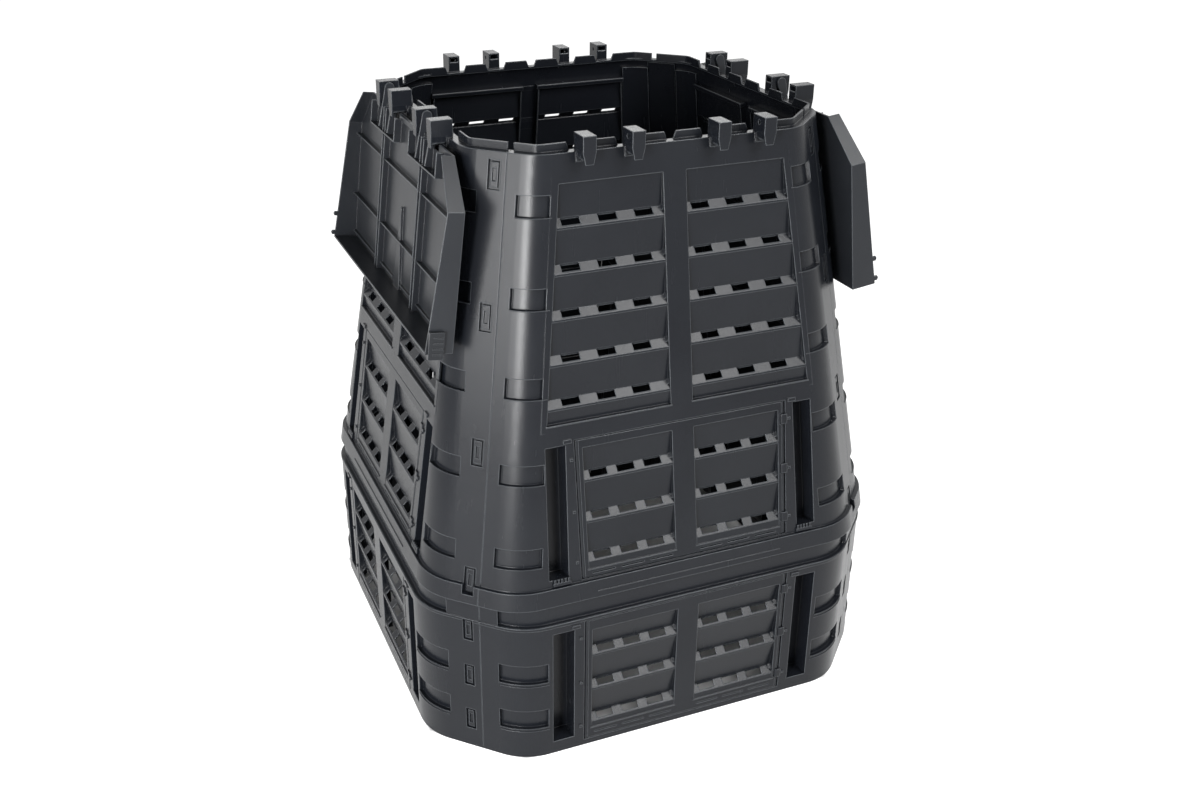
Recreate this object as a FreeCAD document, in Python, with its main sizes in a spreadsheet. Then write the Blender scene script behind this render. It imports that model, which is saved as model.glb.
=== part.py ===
"""Square compost bin with a tapered upper tier, hinged doors and a two-leaf lid.

Millimetres, +Z up. The origin is on the ground at the centre of the base.
The front face looks along -Y and the lid leaves hang on the -X and +X sides.
Four equal wall panels go round each tier, each a quarter turn from the last.
"""
import FreeCAD, Part
import math
import os

import Sketcher
from FreeCAD import Placement, Rotation, Vector

doc = FreeCAD.newDocument("CompostBin")
sheet = doc.addObject("Spreadsheet::Sheet", "Sizes")


class Size:
    """A number that keeps the spreadsheet expression it comes from."""

    def __init__(self, text, value):
        self.text = text
        self.value = float(value)

    def _join(self, sign, other, value, swap=False):
        pair = (other.text, self.text) if swap else (self.text, other.text)
        return Size("(%s %s %s)" % (pair[0], sign, pair[1]), value)

    def __add__(self, other):
        other = as_size(other)
        return self._join("+", other, self.value + other.value)

    def __sub__(self, other):
        other = as_size(other)
        return self._join("-", other, self.value - other.value)

    def __mul__(self, other):
        other = as_size(other)
        return self._join("*", other, self.value * other.value)

    def __truediv__(self, other):
        other = as_size(other)
        return self._join("/", other, self.value / other.value)

    def __radd__(self, other):
        return as_size(other) + self

    def __rsub__(self, other):
        return as_size(other) - self

    def __rmul__(self, other):
        return as_size(other) * self

    def __neg__(self):
        return Size("(-%s)" % self.text, -self.value)


def as_size(item):
    """Wrap a plain number as a Size."""
    if isinstance(item, Size):
        return item
    return Size("%.10g" % item, item) if item >= 0 else Size("(%.10g)" % item, item)


sheet_row = [0]


def size(alias, value, note):
    """Write one driving dimension into the sheet and return it."""
    sheet_row[0] += 1
    row = sheet_row[0]
    sheet.set("A%d" % row, note)
    sheet.set("B%d" % row, "%.10g" % value)
    sheet.setAlias("B%d" % row, alias)
    return Size("Sizes." + alias, value)


def tangent(angle):
    """Tangent of an angle in degrees."""
    return Size("tan(%s * 1 deg)" % angle.text, math.tan(math.radians(angle.value)))


def cosine(angle):
    """Cosine of an angle in degrees."""
    return Size("cos(%s * 1 deg)" % angle.text, math.cos(math.radians(angle.value)))


def sine(angle):
    """Sine of an angle in degrees."""
    return Size("sin(%s * 1 deg)" % angle.text, math.sin(math.radians(angle.value)))


ROOT2 = Size("sqrt(2)", math.sqrt(2))
TURN = tangent(as_size(22.5))

# Shell of the bin
base_half = size("baseHalf", 466.5, "Half width of the base tier")
base_top = size("baseTop", 321, "Height of the base tier")
base_vertex = size("baseVertex", 323.5, "Half length of a base face up to its corner bend")
base_bend = size("baseBend", 112, "Outer radius of the base corner bends")
tier_foot = size("tierFoot", 456, "Half width of the tapered tier at its foot")
tier_vertex = size("tierVertex", 332, "Half length of a tapered face at its foot")
tier_bend = size("tierBend", 110, "Radius of the corner bends at the foot of the taper")
rim_half = size("rimHalf", 336.5, "Half width at the rim")
rim_vertex = size("rimVertex", 242, "Half length of a face at the rim")
rim_bend = size("rimBend", 67, "Radius of the corner bends at the rim")
rim_top = size("rimTop", 1094, "Height of the rim")
wall = size("wall", 4, "Wall thickness of the panels")
seam_shift = size("seamShift", 15, "Seam distance from the middle of a corner face")
seam_gap = size("seamGap", 0.4, "Gap between neighbouring panels")
foot_width = size("footWidth", 14, "Width of the inward foot flange")
deck_width = size("deckWidth", 20, "Width of the inward deck that carries the upper tier")
plate = size("plate", 3, "Thickness of flanges and inner walls")
bead_proud = size("beadProud", 1.5, "How far the base bead stands out")
bead_low = size("beadLow", 279.5, "Bottom of the base bead")
bead_tall = size("beadTall", 6, "Height of the base bead")
belt_foot = size("beltFoot", 286, "Bottom of the recessed belt under the upper tier")
skirt_top = size("skirtTop", 354, "Top of the skirt band above the base")
skirt_proud = size("skirtProud", 7, "Depth of the skirt band")

# Corner dents and their backing
dent_deep = size("dentDeep", 8, "Depth of the corner dents")
dent_past = size("dentPast", 4, "Length of a dent past the bend on the corner face")
dent_edge = size("dentEdge", 4, "Backing beyond the end of a dent")
base_dent_tall = size("baseDentTall", 40, "Height of the base dents")
base_dent_foot = size("baseDentFoot", 84, "Middle of the lowest base dent")
base_dent_step = size("baseDentStep", 100, "Distance between base dents")
tier_dent_tall = size("tierDentTall", 36, "Height of the dents of the taper")
tier_dent_foot = size("tierDentFoot", 412.5, "Middle of the lowest dent of the taper")
tier_dent_step = size("tierDentStep", 149.7, "Distance between dents of the taper")

# Seam tongues, windows and keys
key_inset = size("keyInset", 4, "Key edge inside its window")
key_pit_wide = size("keyPitWide", 7, "Width of the hollow in a key")
key_pit_tall = size("keyPitTall", 21, "Height of the hollow in a key")
key_pit_deep = size("keyPitDeep", 2.5, "Depth of the hollow in a key")
tongue_gap = size("tongueGap", 0.3, "Gap between a tongue and the wall it lies behind")
tongue_own = size("tongueOwn", 18, "Tongue length on its own panel")
tongue_past = size("tonguePast", 43, "Tongue length past the seam")
base_key_foot = size("baseKeyFoot", 62, "Middle of the lowest base key")
base_key_step = size("baseKeyStep", 99.5, "Distance between base keys")
base_key_near = size("baseKeyNear", 13.5, "Near edge of a base key window from the seam")
base_key_wide = size("baseKeyWide", 19.5, "Width of a base key window")
base_key_tall = size("baseKeyTall", 44.5, "Height of a base key window")
tier_key_foot = size("tierKeyFoot", 361, "Middle of the lowest key of the taper")
tier_key_step = size("tierKeyStep", 232, "Distance between keys of the taper")
tier_key_near = size("tierKeyNear", 10, "Near edge of a key window of the taper from the seam")
tier_key_wide = size("tierKeyWide", 22, "Width of a key window of the taper")
tier_key_tall = size("tierKeyTall", 48, "Height of a key window of the taper")

# Louvred windows
mullion = size("mullion", 21.5, "Half width of the bar between two windows")
ledge_deep = size("ledgeDeep", 12, "Depth of the sloping louvre ledges")
ledge_rise = size("ledgeRise", 12, "Rise of a louvre ledge over its depth")
sill_deep = size("sillDeep", 6, "Depth of the last ledge of a window")
sill_bead = size("sillBead", 2.4, "Height of the bead under a window")
sill_proud = size("sillProud", 1.5, "How far the bead under a window stands out")
blade = size("blade", 2.5, "Thickness of the louvre blades")
frame_wide = size("frameWide", 12, "Width of the border plate round the upper windows")
blade_back = size("bladeBack", 0.5, "Blades and cheeks set back from the window edges")
blade_set = size("bladeSet", 1.5, "Set-back of a blade behind the lip above it")
top_set = size("topSet", 3, "Set-back of the first blade behind the window top")
ledge_lip = size("ledgeLip", 4, "Front lip below each ledge")
slot_front = size("slotFront", 3.1, "Ledge left in front of the slots")
slot_back = size("slotBack", 1, "Slot length into the blade behind the ledge")
slot_wide = size("slotWide", 33, "Width of the ledge slots")
slot_aside = size("slotAside", 4, "Shift of the slots from the window middle")
gusset = size("gusset", 5, "Size of the wedge at a ledge end")
gusset_near = size("gussetNear", 6.5, "Depth at which the wedges start")
view_top = size("viewTop", 1045.5, "Top of the upper windows")
view_foot = size("viewFoot", 646.5, "Bottom of the upper windows")
view_wide_top = size("viewWideTop", 207.5, "Outer edge of the upper windows at the top")
view_wide_foot = size("viewWideFoot", 254, "Outer edge of the upper windows at the bottom")
view_ledge = size("viewLedge", 674.5, "Lowest ledge of the upper windows")
view_step = size("viewStep", 75.3, "Distance between ledges of the upper windows")
view_slot_step = size("viewSlotStep", 66, "Distance between slots of the upper windows")
door_slot_step = size("doorSlotStep", 52, "Distance between slots of the doors")

# Doors
door_half = size("doorHalf", 200, "Half width of a door plate")
door_plate = size("doorPlate", 4, "Thickness of a door plate")
door_view = size("doorView", 192, "Outer edge of the door windows")
door_gap = size("doorGap", 1.6, "Gap round a door")
door_ledge_step = size("doorLedgeStep", 76, "Distance between ledges of the doors")
base_door_foot = size("baseDoorFoot", 14, "Bottom of the base doors")
base_door_top = size("baseDoorTop", 277, "Top of the base doors")
base_view_foot = size("baseViewFoot", 38, "Bottom of the base door windows")
base_view_top = size("baseViewTop", 256, "Top of the base door windows")
base_ledge = size("baseLedge", 49, "Lowest ledge of the base doors")
tier_door_foot = size("tierDoorFoot", 358.5, "Bottom of the upper doors")
tier_door_top = size("tierDoorTop", 613, "Top of the upper doors")
tier_view_foot = size("tierViewFoot", 374, "Bottom of the upper door windows")
tier_view_top = size("tierViewTop", 598, "Top of the upper door windows")
tier_ledge = size("tierLedge", 387, "Lowest ledge of the upper doors")
dash_long = size("dashLong", 44, "Length of the edge slots of a door")
dash_tall = size("dashTall", 2, "Height of the edge slots of a door")
rod = size("rod", 3, "Radius of the rod along a door edge")
rod_sink = size("rodSink", 0.5, "Overlap of the rod and the door plate")
rod_gap = size("rodGap", 0.1, "Radial gap between the rod and its clips")
clip_wall = size("clipWall", 2.4, "Wall of the rod clips")
clip_long = size("clipLong", 18, "Length of the rod clips")
clip_room = size("clipRoom", 0.8, "Gap between a clip and the door notch")
clip_inset = size("clipInset", 24, "First and last clip from the door ends")
stud = size("stud", 2.5, "Height of the catch studs on the posts")

# Finger recesses beside the doors
base_pit_foot = size("basePitFoot", 26, "Bottom of the base recesses")
base_pit_top = size("basePitTop", 265, "Top of the base recesses")
base_pit_near = size("basePitNear", 227, "Inner edge of the base recesses")
base_pit_far = size("basePitFar", 268, "Outer edge of the base recesses")
tier_pit_foot = size("tierPitFoot", 367, "Bottom of the upper recesses")
tier_pit_top = size("tierPitTop", 608, "Top of the upper recesses")
tier_pit_near = size("tierPitNear", 231, "Inner edge of the upper recesses at the bottom")
tier_pit_far = size("tierPitFar", 268, "Outer edge of the upper recesses at the bottom")
tier_pit_draw = size("tierPitDraw", 8, "How far the upper recesses lean in to their top")
pit_deep = size("pitDeep", 36, "Depth of the recesses")

# Rim, lip and lid brackets
lip_inset = size("lipInset", 14, "Lip distance from the outside of the rim")
lip_tall = size("lipTall", 13, "Height of the lip")
lip_bend = size("lipBend", 32, "Radius from which the bends of the lip are offset")
lip_short = size("lipShort", 5, "Lip end distance from the seam")
lip_notch = size("lipNotch", 17, "Half width of the lip gaps at the brackets")
hook_wide = size("hookWide", 23, "Width of a lid bracket")
hook_tall = size("hookTall", 31, "Height of a lid bracket above the rim")
hook_out = size("hookOut", 368, "Outer face of the brackets")
hook_in = size("hookIn", 329.5, "Inner face of the brackets")
hook_leg = size("hookLeg", 16, "Bracket leg below the rim")
hook_wall = size("hookWall", 3, "Wall of the brackets")
hook_near = size("hookNear", 78, "Middle of the inner brackets")
hook_far = size("hookFar", 164, "Middle of the outer brackets")
hook_draw = size("hookDraw", 4.5, "Taper of a bracket leg on each side")
pin = size("pin", 3.5, "Radius of the lid pins")
pin_gap = size("pinGap", 0.1, "Radial gap between a lid pin and its hole")
axis_out = size("axisOut", 349, "Lid axis distance from the middle")
axis_rise = size("axisRise", 20, "Lid axis height above the rim")

# Lid leaves
hang = size("hang", 7, "Angle of a hanging lid leaf from the vertical")
lid_half = size("lidHalf", 326.5, "Half width of a lid leaf")
lid_hinge_half = size("lidHingeHalf", 253, "Half width of a lid leaf at its hinge edge")
lid_start = size("lidStart", 30, "Hinge edge distance from the lid axis")
lid_pitch = size("lidPitch", 4.6, "Slope of a closed lid leaf in degrees")
lid_split = size("lidSplit", 1.5, "Half gap between the closed leaves")
lid_seat = size("lidSeat", 0.4, "Gap between a closed leaf and the rim")
lid_drop = size("lidDrop", 2, "Lid axis height over the underside of the plate")
lid_plate = size("lidPlate", 3, "Thickness of a lid leaf")
lid_skirt = size("lidSkirt", 3, "Thickness of the lid skirt")
ear = size("ear", 4, "Thickness of a lid ear")
ear_round = size("earRound", 9, "Radius of a lid ear round its pin")
ear_gap = size("earGap", 1, "Gap between an ear and its bracket")
pocket_long = size("pocketLong", 47, "Length of the hinge pockets")
pocket_near = size("pocketNear", 45, "Inner end of the hinge pockets")
pocket_far = size("pocketFar", 210, "Outer end of the hinge pockets")
pocket_tall = size("pocketTall", 14, "Height of the hinge pocket walls")
strip_wide = size("stripWide", 8, "Width of the bridge between the pockets")
hole = size("hole", 4, "Side of the small square holes")
rib = size("rib", 2.5, "Thickness of the lid ribs")
rib_tall = size("ribTall", 9, "Height of the thin lid ribs")
twin_tall = size("twinTall", 12, "Height of the double lid ribs")
twin_apart = size("twinApart", 15, "Distance between the double lid ribs")
ridge_wide = size("ridgeWide", 38, "Width of the middle ridge at the free end")
ridge_tip = size("ridgeTip", 3, "Width of the middle ridge at its tip")
ridge_tall = size("ridgeTall", 5, "Height of the middle ridge")
notch_wide = size("notchWide", 28, "Width of the plate notches at the brackets")
notch_long = size("notchLong", 13, "Length of the plate notches at the brackets")
tab_wide = size("tabWide", 9, "Width of the locating tabs")
tab_long = size("tabLong", 8, "Length of the locating tabs")
tab_near = size("tabNear", 12, "First locating tab from the middle of the bin")
tab_step = size("tabStep", 40, "Distance between the locating tabs")
tab_gap = size("tabGap", 0.7, "Gap between a tab and its slot in the rim")

# Sliding latch of a lid leaf
latch_long = size("latchLong", 48, "Length of the latch")
latch_wide = size("latchWide", 26, "Width of the latch")
latch_thick = size("latchThick", 8, "Thickness of the latch")
latch_past = size("latchPast", 7, "Latch length past the edge of the lid at rest")
latch_travel = size("latchTravel", 10, "Travel of the latch")
latch_gap = size("latchGap", 0.2, "Gap between the latch and the lid skirt")
latch_inset = size("latchInset", 3, "Latch distance from the free edge of the skirt")
latch_rise = size("latchRise", 5, "Stem distance above the middle of the latch")
stem_back = size("stemBack", 21, "Stem distance from the free end of the lid")
stem_long = size("stemLong", 12, "Length of the latch stem")
stem_wide = size("stemWide", 10, "Width of the latch stem")
keeper = size("keeper", 3, "Thickness of the keeper plate behind the skirt")
grip = size("grip", 1.5, "Height of the grip ribs")
doc.recompute()


def plane_of(body, role):
    """Find one of the origin planes of a body by its role."""
    for item in body.Origin.OriginFeatures:
        if item.Role == role:
            return item
    raise ValueError(role)


class Plane:
    """Where a sketch lies: an origin plane, an offset and a turn in degrees."""

    def __init__(self, role, base, axis=None, turn=None):
        self.role = role
        self.base = [as_size(item) for item in base]
        self.axis = axis
        self.turn = turn


def arc_between(start, end, radius, left):
    """Arc through two points; its centre is on the left of the way if left is true."""
    middle = (start + end) * 0.5
    way = end - start
    half = way.Length / 2
    rise = math.sqrt(max(radius * radius - half * half, 0))
    side = Vector(-way.y, way.x, 0).normalize()
    centre = middle + side * (rise if left else -rise)
    first, last = (start, end) if left else (end, start)
    angle_one = math.atan2(first.y - centre.y, first.x - centre.x)
    angle_two = math.atan2(last.y - centre.y, last.x - centre.x)
    circle = Part.Circle(centre, Vector(0, 0, 1), radius)
    return Part.ArcOfCircle(circle, angle_one, angle_two)


def sketch(body, name, plane, loops):
    """Draw closed loops whose every corner is tied to the sheet.

    A corner is (x, y), or (x, y, radius, left) where an arc starts there.
    A loop that is a circle is one item (x, y, radius).
    """
    item = body.newObject("Sketcher::SketchObject", name)
    item.AttachmentSupport = [(plane_of(body, plane.role), "")]
    item.MapMode = "FlatFace"
    base = Vector(*[part.value for part in plane.base])
    turn = Rotation()
    if plane.axis is not None:
        turn = Rotation(Vector(*plane.axis), plane.turn.value)
    item.AttachmentOffset = Placement(base, turn)
    for letter, part in zip("xyz", plane.base):
        if "Sizes" in part.text:
            item.setExpression("AttachmentOffset.Base." + letter, part.text)
    if plane.axis is not None:
        item.setExpression("AttachmentOffset.Rotation.Angle", plane.turn.text)
    shapes = []
    ties = []
    names = []
    for loop in loops:
        first = len(shapes)
        if len(loop) == 1:
            x, y, radius = [as_size(part) for part in loop[0]]
            middle = Vector(x.value, y.value, 0)
            shapes.append(Part.Circle(middle, Vector(0, 0, 1), radius.value))
            ties.append(Sketcher.Constraint("Radius", first, radius.value))
            ties.append(Sketcher.Constraint("DistanceX", -1, 1, first, 3, x.value))
            ties.append(Sketcher.Constraint("DistanceY", -1, 1, first, 3, y.value))
            names.extend([radius, x, y])
            continue
        count = len(loop)
        starts = []
        ends = []
        for index, corner in enumerate(loop):
            after = loop[(index + 1) % count]
            here = Vector(as_size(corner[0]).value, as_size(corner[1]).value, 0)
            there = Vector(as_size(after[0]).value, as_size(after[1]).value, 0)
            if len(corner) == 2:
                shapes.append(Part.LineSegment(here, there))
                starts.append(1)
                ends.append(2)
            else:
                radius = as_size(corner[2])
                shapes.append(arc_between(here, there, radius.value, corner[3]))
                starts.append(1 if corner[3] else 2)
                ends.append(2 if corner[3] else 1)
                ties.append(Sketcher.Constraint("Radius", first + index, radius.value))
                names.append(radius)
        for index, corner in enumerate(loop):
            after = (index + 1) % count
            edge = first + index
            ties.append(Sketcher.Constraint("Coincident", edge, ends[index], first + after, starts[after]))
            names.append(None)
            for kind, part in (("DistanceX", as_size(corner[0])), ("DistanceY", as_size(corner[1]))):
                ties.append(Sketcher.Constraint(kind, -1, 1, edge, starts[index], part.value))
                names.append(part)
    item.addGeometry(shapes, False)
    item.addConstraint(ties)
    for index, part in enumerate(names):
        if part is not None and "Sizes" in part.text:
            item.setExpression("Constraints[%d]" % index, part.text)
    return item


def bind(item, field, amount):
    """Set a feature length and tie it to the sheet."""
    amount = as_size(amount)
    setattr(item, field, amount.value)
    if "Sizes" in amount.text:
        item.setExpression(field, amount.text)


def pad(body, name, plane, loops, length, back=False, both=False):
    """Add the loops as a pad; back turns it round, both spreads it to both sides."""
    profile = sketch(body, name + "Sketch", plane, loops)
    item = body.newObject("PartDesign::Pad", name)
    item.Profile = profile
    bind(item, "Length", length)
    item.Reversed = back
    if both:
        item.SideType = "Symmetric"
    return item


def cut(body, name, plane, loops, length, back=False, both=False):
    """Cut the loops as a pocket of one length."""
    profile = sketch(body, name + "Sketch", plane, loops)
    item = body.newObject("PartDesign::Pocket", name)
    item.Profile = profile
    item.Type = "Length"
    bind(item, "Length", length)
    item.Reversed = back
    if both:
        item.SideType = "Symmetric"
    return item


def blend(body, name, low, high, cutting=False):
    """Join two level sketches with straight generators, as material or as a cut."""
    sketches = []
    for tag, (plane, loop) in (("Low", low), ("High", high)):
        sketches.append(sketch(body, name + tag, plane, [loop]))
    kind = "PartDesign::SubtractiveLoft" if cutting else "PartDesign::AdditiveLoft"
    item = body.newObject(kind, name)
    item.Profile = sketches[0]
    item.Sections = [sketches[1]]
    item.Ruled = True
    return item


def box_loop(x0, y0, x1, y1):
    """Corners of an upright rectangle."""
    return [(x0, y0), (x1, y0), (x1, y1), (x0, y1)]


class Tier:
    """One ring of four panels, with straight walls between two levels."""

    def __init__(self, low_z, high_z, low, high):
        self.low_z = low_z
        self.high_z = high_z
        self.low = low
        self.high = high
        self.slope = (low[0] - high[0]) / (high_z - low_z)
        lean = "atan(%s)" % self.slope.text
        self.angle = math.degrees(math.atan(self.slope.value))
        self.turn = Size("(-%s)" % lean, -self.angle)
        self.cos = Size("cos(%s)" % lean, math.cos(math.radians(self.angle)))
        self.sin = Size("sin(%s)" % lean, math.sin(math.radians(self.angle)))
        self.leans = abs(self.angle) > 0.001

    def level(self, z):
        """Half width, vertex and bend radius at a height."""
        if not self.leans:
            return self.low
        share = (z - self.low_z) / (self.high_z - self.low_z)
        return [one + (two - one) * share for one, two in zip(self.low, self.high)]

    def y_at(self, z):
        """Outer face of the front wall at a height."""
        return -self.level(z)[0]

    def rise(self, z):
        """Distance up the front wall from its foot to a height."""
        return (z - self.low_z) / self.cos if self.leans else z - self.low_z

    def front(self, out=0):
        """Plane parallel to the front wall, moved outward."""
        out = as_size(out)
        if not self.leans:
            return Plane("XZ_Plane", (0, self.low_z, self.low[0] + out))
        base = (0, self.low_z + out * self.sin, self.low[0] + out * self.cos)
        return Plane("XZ_Plane", base, (1, 0, 0), self.turn)

    def across(self, rise):
        """Plane square to the front wall at a distance up it; its y goes inward."""
        if not self.leans:
            return Plane("XY_Plane", (0, -self.low[0], self.low_z + rise))
        base = (0, rise * self.sin - self.low[0], self.low_z + rise * self.cos)
        return Plane("XY_Plane", base, (1, 0, 0), self.turn)

    def flat(self, z):
        """Level plane at a height."""
        return Plane("XY_Plane", (0, 0, z))

    def seam(self, z, along, deep, right):
        """Point on a corner face: distance from its middle and depth from the outside."""
        half, vertex, _ = self.level(z)
        middle = (half + vertex - deep * ROOT2) / 2
        step = as_size(along) / ROOT2
        if right:
            return (middle + step, step - middle)
        return (step - middle, -step - middle)

    def bend(self, z, deep, right, more=0):
        """Ends of a corner bend at a depth: on the corner face, then on the front."""
        half, vertex, radius = self.level(z)
        point = vertex - deep * (ROOT2 - 1)
        reach = (radius - deep) * TURN
        far = (reach + more) / ROOT2
        corner = (-point - far, far - half + deep)
        front = (reach + more - point, deep - half)
        if right:
            return (-corner[0], corner[1]), (-front[0], front[1]), radius - deep
        return corner, front, radius - deep

    def strip(self, z, out, deep, short=0):
        """Closed plan loop of a panel wall between two depths, from seam to seam."""
        left_o = self.bend(z, out, False)
        right_o = self.bend(z, out, True)
        left_i = self.bend(z, deep, False)
        right_i = self.bend(z, deep, True)
        near = seam_shift + seam_gap / 2 + short
        far = seam_shift - seam_gap / 2 - short
        return [
            self.seam(z, near, out, False),
            left_o[0] + (left_o[2], True),
            left_o[1],
            right_o[1] + (right_o[2], True),
            right_o[0],
            self.seam(z, far, out, True),
            self.seam(z, far, deep, True),
            right_i[0] + (right_i[2], False),
            right_i[1],
            left_i[1] + (left_i[2], False),
            left_i[0],
            self.seam(z, near, deep, False),
        ]

    def belt(self, z, out, deep, past):
        """Plan loop across the front and round both bends, to a place past each bend."""
        left_o = self.bend(z, out, False)
        right_o = self.bend(z, out, True)
        left_i = self.bend(z, deep, False)
        right_i = self.bend(z, deep, True)
        return [
            self.bend(z, out, False, past)[0],
            left_o[0] + (left_o[2], True),
            left_o[1],
            right_o[1] + (right_o[2], True),
            right_o[0],
            self.bend(z, out, True, past)[0],
            self.bend(z, deep, True, past)[0],
            right_i[0] + (right_i[2], False),
            right_i[1],
            left_i[1] + (left_i[2], False),
            left_i[0],
            self.bend(z, deep, False, past)[0],
        ]

    def sector(self, z, out, deep, right):
        """Plan loop of a corner bend between two depths, run on along the corner face."""
        corner_o, front_o, radius_o = self.bend(z, out, right)
        corner_i, front_i, radius_i = self.bend(z, deep, right)
        past_o = self.bend(z, out, right, dent_past)[0]
        past_i = self.bend(z, deep, right, dent_past)[0]
        if right:
            return [front_o + (radius_o, True), corner_o, past_o,
                    past_i, corner_i + (radius_i, False), front_i]
        return [past_o, corner_o + (radius_o, True), front_o,
                front_i + (radius_i, False), corner_i, past_i]

    def backing(self, z, out, deep, right):
        """Sector that runs on along both flats beyond the end of a dent."""
        past = dent_past + dent_edge
        corner_o, front_o, radius_o = self.bend(z, out, right)
        corner_i, front_i, radius_i = self.bend(z, deep, right)
        corner_om = self.bend(z, out, right, past)[0]
        corner_im = self.bend(z, deep, right, past)[0]
        front_om = self.bend(z, out, right, dent_edge)[1]
        front_im = self.bend(z, deep, right, dent_edge)[1]
        if right:
            return [front_om, front_o + (radius_o, True), corner_o, corner_om,
                    corner_im, corner_i + (radius_i, False), front_i, front_im]
        return [corner_om, corner_o + (radius_o, True), front_o, front_om,
                front_im, front_i + (radius_i, False), corner_i, corner_im]

    def slab(self, z, along, deep, right):
        """Four-sided loop on a corner face between two places and two depths."""
        corners = ((along[0], deep[0]), (along[1], deep[0]), (along[1], deep[1]), (along[0], deep[1]))
        return [self.seam(z, one, two, right) for one, two in corners]

    def tongue(self, z):
        """Stepped plan loop of the tongue behind the neighbouring panel."""
        own = seam_shift + tongue_own
        edge = seam_shift + seam_gap / 2
        past = seam_shift - tongue_past
        back = wall + tongue_gap
        deep = back + plate
        corners = ((own, wall - 1), (edge, wall - 1), (edge, back), (past, back), (past, deep), (own, deep))
        return [self.seam(z, one, two, False) for one, two in corners]


base = Tier(as_size(0), base_top, (base_half, base_vertex, base_bend), (base_half, base_vertex, base_bend))
tier = Tier(base_top, rim_top, (tier_foot, tier_vertex, tier_bend), (rim_half, rim_vertex, rim_bend))
lip_line = Tier(base_top, rim_top, (rim_half, rim_vertex, lip_bend), (rim_half, rim_vertex, lip_bend))


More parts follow.
